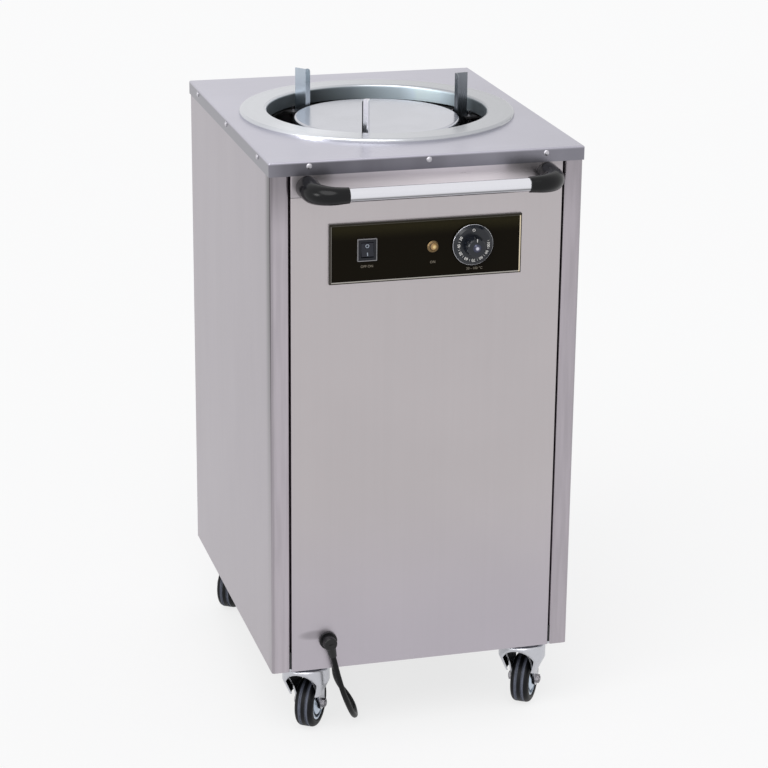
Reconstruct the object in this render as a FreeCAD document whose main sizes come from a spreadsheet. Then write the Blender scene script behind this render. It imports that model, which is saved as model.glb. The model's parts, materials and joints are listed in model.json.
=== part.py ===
import FreeCAD, Part
import Sketcher
import math
import os

# Heated plate dispenser cart, millimetres, +Z up. The origin is on the floor under the middle of the
# cart, handle included. The cabinet's own middle lies SHIFT behind the origin.

SIZES = [
    # cabinet
    ("body_width", 450), ("body_depth", 550), ("deck_height", 871), ("panel_foot", 111),
    ("panel_sheet", 1.2), ("deck_sheet", 1.5), ("deck_edge", 2.4), ("skirt_drop", 20), ("bend_radius", 4),
    ("return_width", 27), ("return_lip", 14), ("seam_gap", 2), ("front_panel_rise", 709),
    ("pan_recess", 4), ("pan_wall", 25), ("post_leg", 25), ("post_sheet", 2), ("fit_gap", 0.3),
    ("screw_radius", 2), ("screw_head", 4), ("screw_dome", 2.2), ("screw_length", 8),
    ("screw_drop", 7), ("screw_row_front", 170), ("screw_row_side", 207),
    # well
    ("ring_radius", 203), ("well_radius", 162), ("ring_rise", 6), ("collar_depth", 22),
    ("ring_sheet", 1.5), ("ring_edge", 4.5), ("frame_drop", 3), ("frame_sheet", 3),
    ("frame_inner", 164), ("frame_outer", 180), ("lug_width", 22), ("lug_inner", 143),
    ("hanger_circle", 171), ("hanger_radius", 5),
    ("platform_radius", 122.5), ("platform_drop", 13), ("platform_sheet", 1.5), ("platform_rim", 12),
    ("guide_radius", 129), ("guide_flange", 11), ("guide_web", 20), ("guide_top_web", 14),
    ("guide_sheet", 2), ("guide_rise", 41), ("guide_foot", 366), ("guide_angle", 8), ("guide_round", 6),
    ("rod_radius", 4), ("rod_rise", 8),
    # lift carriage
    ("slide_radius", 5), ("slide_circle", 152), ("running_gap", 0.05), ("carriage_height", 682),
    ("arm_sheet", 4), ("arm_width", 30), ("carriage_hub", 42), ("leg_radius", 6), ("leg_circle", 90),
    ("bush_radius", 9), ("bush_collar", 12), ("bush_length", 30), ("spring_radius", 7),
    ("spring_wire", 1.5), ("spring_offset", 28),
    # heater
    ("heater_circle", 105), ("heater_height", 171), ("heater_radius", 4), ("heater_arc", 330),
    ("bracket_width", 14), ("bracket_sheet", 3),
    # control plate
    ("plate_x", -3), ("plate_height", 737), ("plate_width", 278), ("plate_depth", 86),
    ("plate_sheet", 2), ("frame_width", 3), ("frame_proud", 3.5), ("control_height", 739.5),
    ("rocker_x", -88), ("rocker_height", 741), ("rocker_width", 28), ("rocker_depth", 32),
    ("rocker_wall", 5), ("rocker_box", 18), ("rocker_throw", 12), ("lamp_x", 7), ("lamp_radius", 8.5),
    ("lamp_hole", 5), ("dial_x", 64), ("dial_radius", 29), ("dial_skirt", 7), ("grip_radius", 15),
    ("grip_reach", 24), ("dial_cap_radius", 6), ("shaft_radius", 3), ("bushing_radius", 5),
    ("thermostat_width", 40), ("thermostat_depth", 30),
    # handle
    ("handle_height", 834), ("tube_radius", 9.5), ("tube_wall", 1.5), ("handle_standoff", 55),
    ("elbow_radius", 12), ("elbow_foot", 16.5), ("elbow_knuckle", 15.5), ("elbow_mouth", 11), ("elbow_x", 172),
    ("elbow_end", 128), ("elbow_bend", 30), ("socket_depth", 16),
    # gland and cord
    ("gland_inset", 54), ("gland_height", 156), ("gland_radius", 13), ("gland_reach", 12),
    ("gland_tilt", 12.8), ("gland_spout", 22), ("spout_top", 8), ("spout_end", 5.5),
    ("cord_radius", 4), ("coil_radius", 53), ("coil_step", 4.3), ("coil_gap", 0.6),
    ("coil_x", -22), ("coil_y", 110), ("tie_sheet", 1.2), ("tie_width", 12), ("plug_radius", 19.5),
    ("plug_rise", 22), ("plug_neck", 25), ("neck_tip", 4.5), ("neck_radius", 7), ("pin_radius", 2.4),
    ("pin_length", 19), ("pin_spacing", 19),
    # casters
    ("caster_inset_x", 58), ("caster_inset_y", 31.5), ("caster_heading", 57), ("wheel_radius", 37.5),
    ("wheel_width", 28), ("hub_radius", 26), ("dome_radius", 18.5), ("tyre_shoulder", 7),
    ("tyre_groove", 1), ("groove_near", 3.6), ("groove_far", 5.6), ("trail", 20), ("axle_radius", 4),
    ("fork_sheet", 2.5), ("fork_clearance", 2), ("hood_radius", 35), ("hood_edge", 4), ("hood_wall", 24),
    ("hood_foot", 48), ("hood_foot_radius", 24), ("hood_slot", 18), ("rim_drop", 13), ("rim_sweep", 126),
    ("leg_sweep", 140), ("fork_boss", 10),
    ("caster_plate_x", 78), ("caster_plate_y", 60), ("caster_plate_sheet", 2.5), ("race_radius", 24),
    ("race_rise", 4), ("bolt_x", 30), ("bolt_y", 21.5), ("bolt_radius", 3.5), ("bolt_head", 6),
    ("bolt_head_rise", 3),
]


class Size:
    """A number together with the sheet formula that gives it."""

    def __init__(self, value, formula):
        self.value = float(value)
        self.formula = formula

    def __add__(self, other):
        other = as_size(other)
        return Size(self.value + other.value, f"({self.formula} + {other.formula})")

    def __sub__(self, other):
        other = as_size(other)
        return Size(self.value - other.value, f"({self.formula} - {other.formula})")

    def __mul__(self, other):
        other = as_size(other)
        return Size(self.value * other.value, f"({self.formula} * {other.formula})")

    def __truediv__(self, other):
        other = as_size(other)
        return Size(self.value / other.value, f"({self.formula} / {other.formula})")

    def __radd__(self, other):
        return as_size(other) + self

    def __rsub__(self, other):
        return as_size(other) - self

    def __rmul__(self, other):
        return as_size(other) * self

    def __neg__(self):
        return self * -1


def as_size(number):
    """A plain number as a size without a sheet cell."""
    return number if isinstance(number, Size) else Size(number, f"({number})")


doc = FreeCAD.newDocument("plate_dispenser_cart")
sheet = doc.addObject("Spreadsheet::Sheet", "Sizes")
for row, (alias, number) in enumerate(SIZES, start=1):
    sheet.set(f"A{row}", alias)
    sheet.set(f"B{row}", str(number))
    sheet.setAlias(f"B{row}", alias)
doc.recompute()


class Sheet:
    """The driving sizes by name."""


d = Sheet()
for alias, number in SIZES:
    setattr(d, alias, Size(sheet.get(alias), f"Sizes.{alias}"))

# ---- places worked out from the driving sizes --------------------------------------------------------

SHIFT = (d.handle_standoff + d.elbow_radius - d.deck_sheet - d.screw_dome) / 2
HALF_X = d.body_width / 2
HALF_Y = d.body_depth / 2
LIP_X = HALF_X - d.return_width
DOOR_X = LIP_X - d.seam_gap
DECK_UNDER = d.deck_height - d.deck_sheet
SEAM = d.panel_foot + d.front_panel_rise
PAN_UNDER = d.panel_foot + d.pan_recess
PAN_FLOOR = PAN_UNDER + d.deck_sheet
PAN_TOP = PAN_FLOOR + d.pan_wall
RING_TOP = d.deck_height + d.ring_rise
COLLAR_FOOT = RING_TOP - d.collar_depth
FRAME_TOP = COLLAR_FOOT - d.frame_drop
FRAME_UNDER = FRAME_TOP - d.frame_sheet
PLATFORM_TOP = RING_TOP - d.platform_drop
ROD_CIRCLE = d.guide_radius + d.guide_web + d.rod_radius
ROD_SIDE = (d.guide_flange - d.guide_sheet) / 2
SLIDE_ANGLE = d.guide_angle + 60
ARM_TOP = d.carriage_height + d.arm_sheet
PIVOT_X = HALF_X - d.caster_inset_x
PIVOT_Y = HALF_Y - d.caster_inset_y
CASTER_TOP = PAN_UNDER
PLATE_UNDER = CASTER_TOP - d.caster_plate_sheet
FORK_TOP = PLATE_UNDER - d.race_rise
FORK_INNER = d.wheel_width / 2 + d.fork_clearance
FORK_OUTER = FORK_INNER + d.fork_sheet
GLAND_X = d.gland_inset - DOOR_X
THIRDS = (0, 120, 240)


# ---- drawing helpers ---------------------------------------------------------------------------------

def bind(thing, path, size):
    """Tie one property to the sheet."""
    thing.setExpression(path, as_size(size).formula)


def new_body(label):
    """An empty sub-part; its solids may lie apart from each other."""
    body = doc.addObject("PartDesign::Body", label)
    body.Label = label
    if "AllowCompound" in body.PropertiesList:
        body.AllowCompound = True
    return body


def new_sketch(body, role, offset=0):
    """A sketch on one of the sub-part's own planes, moved along the plane's normal."""
    sketch = body.newObject("Sketcher::SketchObject", f"{body.Name}_sketch")
    plane = next(f for f in body.Origin.OriginFeatures if f.Role == role)
    sketch.AttachmentSupport = [(plane, "")]
    sketch.MapMode = "FlatFace"
    bind(sketch, "AttachmentOffset.Base.z", offset)
    return sketch


def pin_point(sketch, edge, end, x, y):
    """Hold one end or the centre of an edge at (x, y)."""
    for kind, axis, size in (("DistanceX", -2, x), ("DistanceY", -1, y)):
        if not isinstance(size, Size) and size == 0:
            sketch.addConstraint(Sketcher.Constraint("PointOnObject", edge, end, axis))
            continue
        size = as_size(size)
        index = sketch.addConstraint(Sketcher.Constraint(kind, -1, 1, edge, end, size.value))
        bind(sketch, f"Constraints[{index}]", size)


def pin_radius(sketch, edge, radius):
    radius = as_size(radius)
    index = sketch.addConstraint(Sketcher.Constraint("Radius", edge, radius.value))
    bind(sketch, f"Constraints[{index}]", radius)


def circle(sketch, x, y, radius):
    centre = FreeCAD.Vector(as_size(x).value, as_size(y).value, 0)
    shape = Part.Circle(centre, FreeCAD.Vector(0, 0, 1), as_size(radius).value)
    edge = sketch.addGeometry(shape, False)
    pin_point(sketch, edge, 3, x, y)
    pin_radius(sketch, edge, radius)


class Bend:
    """A point that an arc arrives at; a positive radius turns left."""

    def __init__(self, x, y, radius):
        self.point = (x, y)
        self.radius = radius


def unit(start, end):
    dx = as_size(end[0]).value - as_size(start[0]).value
    dy = as_size(end[1]).value - as_size(start[1]).value
    length = math.hypot(dx, dy)
    return (round(dx / length, 6), round(dy / length, 6))


def step(point, direction, distance):
    """A point moved along a direction, square directions only in the formula."""
    x, y = point
    dx, dy = direction
    return (x + distance * dx if dx else x, y + distance * dy if dy else y)


def edges_of(corners):
    """Edges (start, end, radius) of a closed outline; a third number rounds a square corner."""
    points = [c.point if isinstance(c, Bend) else c[:2] for c in corners]
    entries, exits = [], []
    for i, corner in enumerate(corners):
        entry = leave = points[i]
        if not isinstance(corner, Bend) and len(corner) == 3:
            before = unit(points[i - 1], points[i])
            after = unit(points[i], points[(i + 1) % len(points)])
            entry = step(points[i], (-before[0], -before[1]), corner[2])
            leave = step(points[i], after, corner[2])
        entries.append(entry)
        exits.append(leave)
    edges = []
    for i, corner in enumerate(corners):
        following = corners[(i + 1) % len(corners)]
        if not isinstance(corner, Bend) and len(corner) == 3:
            before = unit(points[i - 1], points[i])
            after = unit(points[i], points[(i + 1) % len(points)])
            left = before[0] * after[1] - before[1] * after[0] > 0
            edges.append((entries[i], exits[i], corner[2] if left else -corner[2]))
        bend = following.radius if isinstance(following, Bend) else None
        edges.append((exits[i], entries[(i + 1) % len(corners)], bend))
    return edges


def outline(sketch, corners):
    """Draw a closed outline and hold each of its points to the sheet."""
    first = last = None
    edges = edges_of(corners)
    for number, (start, end, radius) in enumerate(edges):
        a = FreeCAD.Vector(as_size(start[0]).value, as_size(start[1]).value, 0)
        b = FreeCAD.Vector(as_size(end[0]).value, as_size(end[1]).value, 0)
        if radius is None:
            edge = sketch.addGeometry(Part.LineSegment(a, b), False)
            ends = (1, 2)
        else:
            size = as_size(radius)
            chord = b - a
            rise = math.sqrt(max(size.value ** 2 - (chord.Length / 2) ** 2, 0))
            normal = FreeCAD.Vector(-chord.y, chord.x, 0).normalize()
            left = size.value > 0
            centre = (a + b) * 0.5 + normal * (rise if left else -rise)
            low, high = (a, b) if left else (b, a)
            arc = Part.ArcOfCircle(
                Part.Circle(centre, FreeCAD.Vector(0, 0, 1), abs(size.value)),
                math.atan2(low.y - centre.y, low.x - centre.x),
                math.atan2(high.y - centre.y, high.x - centre.x))
            edge = sketch.addGeometry(arc, False)
            ends = (1, 2) if left else (2, 1)
            pin_radius(sketch, edge, size if left else -size)
        if last is not None:
            sketch.addConstraint(Sketcher.Constraint("Coincident", edge, ends[0], *last))
        else:
            first = (edge, ends[0])
        if number == len(edges) - 1:
            sketch.addConstraint(Sketcher.Constraint("Coincident", edge, ends[1], *first))
        last = (edge, ends[1])
        pin = (edge, ends[1]) if number < len(edges) - 1 else first
        pin_point(sketch, pin[0], pin[1], *end)


def rectangle(sketch, x0, y0, x1, y1, radius=None):
    corners = [(x0, y0), (x1, y0), (x1, y1), (x0, y1)]
    outline(sketch, [c if radius is None else (*c, radius) for c in corners])


def folded(path, thickness, bend):
    """Outline of a folded strip: a square-cornered path, with the sheet to the left of it."""
    outer, inner = [], []
    for i, point in enumerate(path):
        before = unit(path[i - 1], point) if i else unit(point, path[1])
        after = unit(point, path[i + 1]) if i + 1 < len(path) else before
        lefts = {(-before[1], before[0]), (-after[1], after[0])}
        moved = point
        for left in sorted(lefts):
            moved = step(moved, left, thickness)
        if before == after:
            outer.append(point)
            inner.append(moved)
            continue
        turns_left = before[0] * after[1] - before[1] * after[0] > 0
        tight, wide = bend - thickness, bend
        outer.append((*point, wide if turns_left else tight))
        inner.append((*moved, tight if turns_left else wide))
    return outer + inner[::-1]


def pad(body, sketch, length, backwards=False, both=False):
    feature = body.newObject("PartDesign::Pad", f"{body.Name}_pad")
    feature.Profile = sketch
    feature.Reversed = backwards
    feature.SideType = "Symmetric" if both else "One side"
    bind(feature, "Length", length)
    return feature


def pocket(body, sketch, length=None, backwards=False):
    """A cut of one depth, or through everything both ways when no depth is given."""
    feature = body.newObject("PartDesign::Pocket", f"{body.Name}_pocket")
    feature.Profile = sketch
    feature.Reversed = backwards
    if length is None:
        feature.Type = "ThroughAll"
        feature.SideType = "Symmetric"
    else:
        bind(feature, "Length", length)
    return feature


def revolve(body, sketch, angle=360, kind="Revolution"):
    """Turn a profile about its sketch's vertical axis."""
    feature = body.newObject(f"PartDesign::{kind}", f"{body.Name}_turn")
    feature.Profile = sketch
    feature.ReferenceAxis = (sketch, ["V_Axis"])
    bind(feature, "Angle", angle)
    return feature


def polar(body, sketch, features, count=3, angle=360):
    """Repeat features round the Z axis of the sub-part."""
    pattern = body.newObject("PartDesign::PolarPattern", f"{body.Name}_pattern")
    pattern.Originals = features
    pattern.Axis = (sketch, ["N_Axis"])
    bind(pattern, "Angle", angle)
    pattern.Occurrences = count
    body.Tip = pattern
    return pattern


def place(thing, x=0, y=0, z=0, turn=0, axis=(0, 0, 1)):
    """Put a sub-part in the cart; y counts from the cabinet's middle."""
    angle = as_size(turn)
    thing.Placement = FreeCAD.Placement(FreeCAD.Vector(0, 0, 0), FreeCAD.Rotation(FreeCAD.Vector(*axis), 1))
    bind(thing, "Placement.Base.x", x)
    bind(thing, "Placement.Base.y", SHIFT + y)
    bind(thing, "Placement.Base.z", z)
    bind(thing, "Placement.Rotation.Angle", angle)
    return thing


# ---- cabinet -----------------------------------------------------------------------------------------

def top_deck():
    """Square deck with its skirt folded down over the panels, a round hole and three screw holes a side."""
    body = new_body("top_deck")
    out_x, out_y = HALF_X + d.deck_sheet, HALF_Y + d.deck_sheet
    sketch = new_sketch(body, "XY_Plane", d.deck_height - d.skirt_drop)
    rectangle(sketch, -out_x, -out_y, out_x, out_y, d.deck_sheet)
    block = pad(body, sketch, d.skirt_drop)
    round_edges(body, block, d.deck_edge, lambda edge: edge.BoundBox.ZMin > DECK_UNDER.value)
    inside = new_sketch(body, "XY_Plane", d.deck_height - d.skirt_drop)
    rectangle(inside, -HALF_X, -HALF_Y, HALF_X, HALF_Y)
    pocket(body, inside, d.skirt_drop - d.deck_sheet, backwards=True)
    hole = new_sketch(body, "XY_Plane", d.deck_height)
    circle(hole, 0, 0, d.well_radius + d.ring_sheet + 2)
    pocket(body, hole)
    screw_holes(body, "XZ_Plane", d.screw_row_front)
    screw_holes(body, "YZ_Plane", d.screw_row_side)
    return place(body)


def round_edges(body, feature, radius, chosen):
    """Round the edges of a feature that a test picks."""
    doc.recompute()
    names = [f"Edge{i}" for i, edge in enumerate(feature.Shape.Edges, start=1) if chosen(edge)]
    fillet = body.newObject("PartDesign::Fillet", f"{body.Name}_round")
    fillet.Base = (feature, names)
    bind(fillet, "Radius", radius)
    return fillet


def screw_holes(body, role, spacing):
    sketch = new_sketch(body, role)
    for x in (-spacing, 0, spacing):
        circle(sketch, x, d.deck_height - d.screw_drop, d.screw_radius + d.running_gap * 2)
    pocket(body, sketch)


def side_panel(label, turn):
    """Side sheet that wraps both corners with a return and a lip, the lips notched over the base pan."""
    body = new_body(label)
    path = [(LIP_X, d.return_lip - HALF_Y), (LIP_X, -HALF_Y), (HALF_X, -HALF_Y),
            (HALF_X, HALF_Y), (LIP_X, HALF_Y), (LIP_X, HALF_Y - d.return_lip)]
    sketch = new_sketch(body, "XY_Plane", d.panel_foot)
    outline(sketch, folded(path, d.panel_sheet, d.bend_radius))
    pad(body, sketch, DECK_UNDER - d.panel_foot)
    notch = new_sketch(body, "XY_Plane", d.panel_foot)
    back = HALF_Y - d.panel_sheet
    rectangle(notch, LIP_X - 5, -back, LIP_X + d.bend_radius, back)
    pocket(body, notch, PAN_TOP + d.fit_gap - d.panel_foot, backwards=True)
    screw_holes(body, "YZ_Plane", d.screw_row_side)
    return place(body, turn=turn)


def door(label, foot, top, turn=0, drilled=True):
    """Flush panel between the returns, with lips folded in beside them."""
    body = new_body(label)
    path = [(-DOOR_X, d.return_lip - HALF_Y), (-DOOR_X, -HALF_Y), (DOOR_X, -HALF_Y),
            (DOOR_X, d.return_lip - HALF_Y)]
    sketch = new_sketch(body, "XY_Plane", foot)
    outline(sketch, folded(path, d.panel_sheet, d.panel_sheet + 0.6))
    pad(body, sketch, top - foot)
    if foot.value < PAN_TOP.value:
        notch = new_sketch(body, "XY_Plane", foot)
        rectangle(notch, -DOOR_X - 1, d.panel_sheet - HALF_Y, DOOR_X + 1, d.return_lip + 1 - HALF_Y)
        pocket(body, notch, PAN_TOP + d.fit_gap - foot, backwards=True)
    if drilled:
        sketch = new_sketch(body, "XZ_Plane")
        for x in (-d.screw_row_front, 0, d.screw_row_front):
            circle(sketch, x, d.deck_height - d.screw_drop, d.screw_radius + d.running_gap * 2)
        pocket(body, sketch)
    return place(body, turn=turn)


def front_panel():
    """Main front sheet, cut for the switch, lamp, thermostat bushing and cord gland."""
    body = door("front_panel", d.panel_foot, SEAM - d.fit_gap, drilled=False)
    sketch = new_sketch(body, "XZ_Plane")
    control_cuts(sketch)
    circle(sketch, GLAND_X, d.gland_height, d.gland_radius - 3 + d.running_gap * 2)
    pocket(body, sketch)
    return body


def control_cuts(sketch):
    """The openings that the panel and the control plate share."""
    half_x = d.rocker_width / 2 - d.rocker_wall + 2 + d.fit_gap
    half_z = d.rocker_depth / 2 - d.rocker_wall + 2 + d.fit_gap
    rectangle(sketch, d.rocker_x - half_x, d.rocker_height - half_z,
              d.rocker_x + half_x, d.rocker_height + half_z)
    circle(sketch, d.lamp_x, d.control_height, d.lamp_hole + d.fit_gap)
    circle(sketch, d.dial_x, d.control_height, d.bushing_radius + d.running_gap * 2)


def front_strip():
    """Narrow sheet behind the handle, from the seam up under the skirt."""
    return door("front_strip", SEAM + d.fit_gap, DECK_UNDER)


def base_pan():
    """Floor of the cabinet: a tray whose walls are fixed inside the panels; drilled for the casters."""
    body = new_body("base_pan")
    out_x, out_y = HALF_X - d.panel_sheet, HALF_Y - d.panel_sheet
    sketch = new_sketch(body, "XY_Plane", PAN_UNDER)
    rectangle(sketch, -out_x, -out_y, out_x, out_y, d.bend_radius)
    pad(body, sketch, PAN_TOP - PAN_UNDER)
    inside = new_sketch(body, "XY_Plane", PAN_TOP)
    in_x, in_y = out_x - d.deck_sheet, out_y - d.deck_sheet
    rectangle(inside, -in_x, -in_y, in_x, in_y, d.bend_radius - d.deck_sheet)
    pocket(body, inside, d.pan_wall)
    holes = new_sketch(body, "XY_Plane", PAN_UNDER)
    for x, y in caster_bolt_places():
        circle(holes, x, y, d.bolt_radius + d.running_gap * 2)
    pocket(body, holes)
    return place(body)


def corners_of(x, y):
    return [(sx * x, sy * y) for sx in (-1, 1) for sy in (-1, 1)]


def caster_bolt_places():
    return [(x + dx, y + dy) for x, y in corners_of(PIVOT_X, PIVOT_Y)
            for dx, dy in corners_of(d.bolt_x, d.bolt_y)]


def corner_posts():
    """Four angle posts from the base pan to the underside of the deck."""
    body = new_body("corner_posts")
    sketch = new_sketch(body, "XY_Plane", PAN_FLOOR)
    x = HALF_X - d.panel_sheet - d.deck_sheet
    y = HALF_Y - d.return_lip - d.fit_gap
    for sx in (-1, 1):
        for sy in (-1, 1):
            outline(sketch, [(sx * px, sy * py) for px, py in (
                (x, y), (x - d.post_leg, y), (x - d.post_leg, y - d.post_sheet),
                (x - d.post_sheet, y - d.post_sheet), (x - d.post_sheet, y - d.post_leg),
                (x, y - d.post_leg))])
    pad(body, sketch, DECK_UNDER - PAN_FLOOR)
    return place(body)


def screw_profile():
    """Crowned head and shank of one screw, its head's underside at zero and the shank along -Z."""
    r, head, dome, shank = d.screw_radius.value, d.screw_head.value, d.screw_dome.value, -d.screw_length.value
    places = [(0, shank), (r, shank), (r, 0), (head, 0), (head, 0.6), (head * 0.75, dome * 0.75), (head * 0.4, dome),
              (0, dome)]
    points = [FreeCAD.Vector(x, 0, z) for x, z in places]
    face = Part.Face(Part.makePolygon(points + points[:1]))
    return face.revolve(FreeCAD.Vector(0, 0, 0), FreeCAD.Vector(0, 0, 1), 360)


def cabinet_screws():
    """Three domed screws through each side of the skirt."""
    screw = screw_profile()
    z = (d.deck_height - d.screw_drop).value
    sides = [(0, -1, HALF_Y, d.screw_row_front), (0, 1, HALF_Y, d.screw_row_front),
             (-1, 0, HALF_X, d.screw_row_side), (1, 0, HALF_X, d.screw_row_side)]
    solids = []
    for nx, ny, half, spacing in sides:
        turn = FreeCAD.Rotation(FreeCAD.Vector(0, 0, 1), FreeCAD.Vector(nx, ny, 0))
        reach = (half + d.deck_sheet).value
        for along in (-spacing.value, 0, spacing.value):
            base = FreeCAD.Vector(nx * reach + abs(ny) * along, ny * reach + abs(nx) * along, z)
            copy = screw.copy()
            copy.Placement = FreeCAD.Placement(base, turn)
            solids.append(copy)
    feature = doc.addObject("Part::Feature", "cabinet_screws")
    feature.Shape = Part.makeCompound(solids)
    return place(feature)


# ---- well --------------------------------------------------------------------------------------------

def ring_flange():
    """Pressed ring on the deck, its outer edge rolled down and its inner edge drawn down as a collar."""
    body = new_body("ring_flange")
    sketch = new_sketch(body, "XZ_Plane")
    t, edge = d.ring_sheet, d.ring_edge
    tight = edge - t
    outline(sketch, [
        (d.ring_radius, d.deck_height), (d.ring_radius, RING_TOP, edge), (d.well_radius, RING_TOP, edge),
        (d.well_radius, COLLAR_FOOT), (d.well_radius + t, COLLAR_FOOT),
        (d.well_radius + t, RING_TOP - t, tight), (d.ring_radius - t, RING_TOP - t, tight),
        (d.ring_radius - t, d.deck_height)])
    revolve(body, sketch)
    return place(body)


def upper_ring():
    """Ring frame hung under the deck, with lugs that hold the guide rods, slide rods and springs."""
    body = new_body("upper_ring")
    sketch = new_sketch(body, "XY_Plane", FRAME_UNDER)
    circle(sketch, 0, 0, d.frame_outer)
    circle(sketch, 0, 0, d.frame_inner)
    pad(body, sketch, d.frame_sheet)
    reach = d.frame_inner + 4
    lug = new_sketch(body, "XY_Plane", FRAME_UNDER)
    rectangle(lug, d.lug_inner, ROD_SIDE - d.lug_width / 2, reach, ROD_SIDE + d.lug_width / 2)
    polar(body, lug, [pad(body, lug, d.frame_sheet)])
    seat = new_sketch(body, "XY_Plane", FRAME_UNDER)
    half = d.lug_width / 2
    rectangle(seat, -reach, -d.spring_offset - half, -d.lug_inner, half)
    polar(body, seat, [pad(body, seat, d.frame_sheet)])
    slot = new_sketch(body, "XY_Plane", FRAME_UNDER)
    half = d.guide_sheet / 2 + d.fit_gap
    rectangle(slot, d.lug_inner - 5, ROD_SIDE - half, ROD_CIRCLE - d.rod_radius + d.fit_gap, ROD_SIDE + half)
    polar(body, slot, [pocket(body, slot, d.frame_sheet, backwards=True)])
    hole = new_sketch(body, "XY_Plane", FRAME_UNDER)
    circle(hole, ROD_CIRCLE, ROD_SIDE, d.rod_radius + d.running_gap)
    polar(body, hole, [pocket(body, hole, d.frame_sheet, backwards=True)])
    hanger = new_sketch(body, "XY_Plane", FRAME_UNDER)
    circle(hanger, d.hanger_circle, d.lug_width, d.hanger_radius)
    polar(body, hanger, [pad(body, hanger, DECK_UNDER - FRAME_UNDER)])
    return place(body, turn=d.guide_angle)


def plate_guide(number, turn):
    """L-section guide: a flange towards the stack and a web out to its rod, tapered above the ring."""
    body = new_body(f"plate_guide_{number}")
    top = RING_TOP + d.guide_rise
    r, half, t = d.guide_radius, d.guide_flange / 2, d.guide_sheet
    sketch = new_sketch(body, "XY_Plane", d.guide_foot)
    outline(sketch, [(r, -half), (r + t, -half), (r + t, half - t), (r + d.guide_web, half - t),
                     (r + d.guide_web, half), (r, half)])
    pad(body, sketch, top - d.guide_foot)
    taper = new_sketch(body, "XZ_Plane", half * -1 - 1)
    outline(taper, [(r + d.guide_web, RING_TOP), (r + d.guide_web + 1, RING_TOP),
                    (r + d.guide_web + 1, top + 1), (r + d.guide_top_web, top + 1),
                    (r + d.guide_top_web, top)])
    pocket(body, taper, d.guide_flange + 2)
    corner = new_sketch(body, "YZ_Plane")
    outline(corner, [(-half - 1, top - d.guide_round), (-half, top - d.guide_round),
                     Bend(d.guide_round - half, top, -d.guide_round), (d.guide_round - half, top + 1),
                     (-half - 1, top + 1)])
    pocket(body, corner)
    return place(body, turn=d.guide_angle + turn)


def guide_rods():
    """Three rods from the base pan up through the ring frame, one at each guide's web."""
    body = new_body("guide_rods")
    sketch = new_sketch(body, "XY_Plane", PAN_FLOOR)
    circle(sketch, ROD_CIRCLE, ROD_SIDE, d.rod_radius)
    rod = pad(body, sketch, FRAME_TOP + d.rod_rise - PAN_FLOOR)
    polar(body, sketch, [rod])
    return place(body, turn=d.guide_angle)


def slide_rods():
    """Three polished rods that the carriage runs on, from the base pan to the ring frame."""
    body = new_body("slide_rods")
    sketch = new_sketch(body, "XY_Plane", PAN_FLOOR)
    circle(sketch, d.slide_circle, 0, d.slide_radius)
    rod = pad(body, sketch, FRAME_UNDER - PAN_FLOOR)
    polar(body, sketch, [rod])
    return place(body, turn=SLIDE_ANGLE)


def platform():
    """Round plate platform with its edge drawn down."""
    body = new_body("platform")
    sketch = new_sketch(body, "XZ_Plane")
    r, t, edge = d.platform_radius, d.platform_sheet, d.platform_sheet + 2
    foot = PLATFORM_TOP - d.platform_rim
    outline(sketch, [(0, PLATFORM_TOP - t), (r - t, PLATFORM_TOP - t, edge - t), (r - t, foot), (r, foot),
                     (r, PLATFORM_TOP, edge), (0, PLATFORM_TOP)])
    revolve(body, sketch)
    return place(body)


def carriage():
    """Three-armed spider with the legs that carry the platform; each arm ends in a bush and spring seat."""
    body = new_body("carriage")
    hub = new_sketch(body, "XY_Plane", d.carriage_height)
    circle(hub, 0, 0, d.carriage_hub)
    pad(body, hub, d.arm_sheet)
    arm = new_sketch(body, "XY_Plane", d.carriage_height)
    half, inner, outer = d.arm_width / 2, d.slide_circle - 14, d.slide_circle + 14
    outline(arm, [(0, -half), (inner, -half), (outer, -half), (outer, d.spring_offset + 12),
                  (inner, d.spring_offset + 12), (inner, half), (0, half)])
    circle(arm, d.slide_circle, 0, d.bush_radius + d.running_gap)
    arms = pad(body, arm, d.arm_sheet)
    polar(body, arm, [arms])
    leg = new_sketch(body, "XY_Plane", d.carriage_height)
    circle(leg, d.leg_circle, 0, d.leg_radius)
    legs = pad(body, leg, PLATFORM_TOP - d.platform_sheet - d.carriage_height)
    polar(body, leg, [legs])
    return place(body, turn=SLIDE_ANGLE)


def slide_bushes():
    """Flanged nylon bushes in the arms, running on the slide rods."""
    body = new_body("slide_bushes")
    barrel = new_sketch(body, "XY_Plane", ARM_TOP - d.bush_length + d.arm_sheet)
    circle(barrel, d.slide_circle, 0, d.bush_radius)
    circle(barrel, d.slide_circle, 0, d.slide_radius + d.running_gap)
    barrels = pad(body, barrel, d.bush_length)
    flange = new_sketch(body, "XY_Plane", ARM_TOP)
    circle(flange, d.slide_circle, 0, d.bush_collar)
    circle(flange, d.slide_circle, 0, d.slide_radius + d.running_gap)
    flanges = pad(body, flange, d.arm_sheet)
    polar(body, flange, [barrels, flanges])
    return place(body, turn=SLIDE_ANGLE)


def lift_spring(number, turn):
    """Envelope of a long extension spring between the ring frame and one arm of the carriage."""
    body = new_body(f"lift_spring_{number}")
    sketch = new_sketch(body, "XY_Plane", ARM_TOP)
    circle(sketch, d.slide_circle, d.spring_offset, d.spring_radius)
    circle(sketch, d.slide_circle, d.spring_offset, d.spring_radius - d.spring_wire)
    pad(body, sketch, FRAME_UNDER - ARM_TOP)
    return place(body, turn=SLIDE_ANGLE + turn)


# ---- heater ------------------------------------------------------------------------------------------

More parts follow.
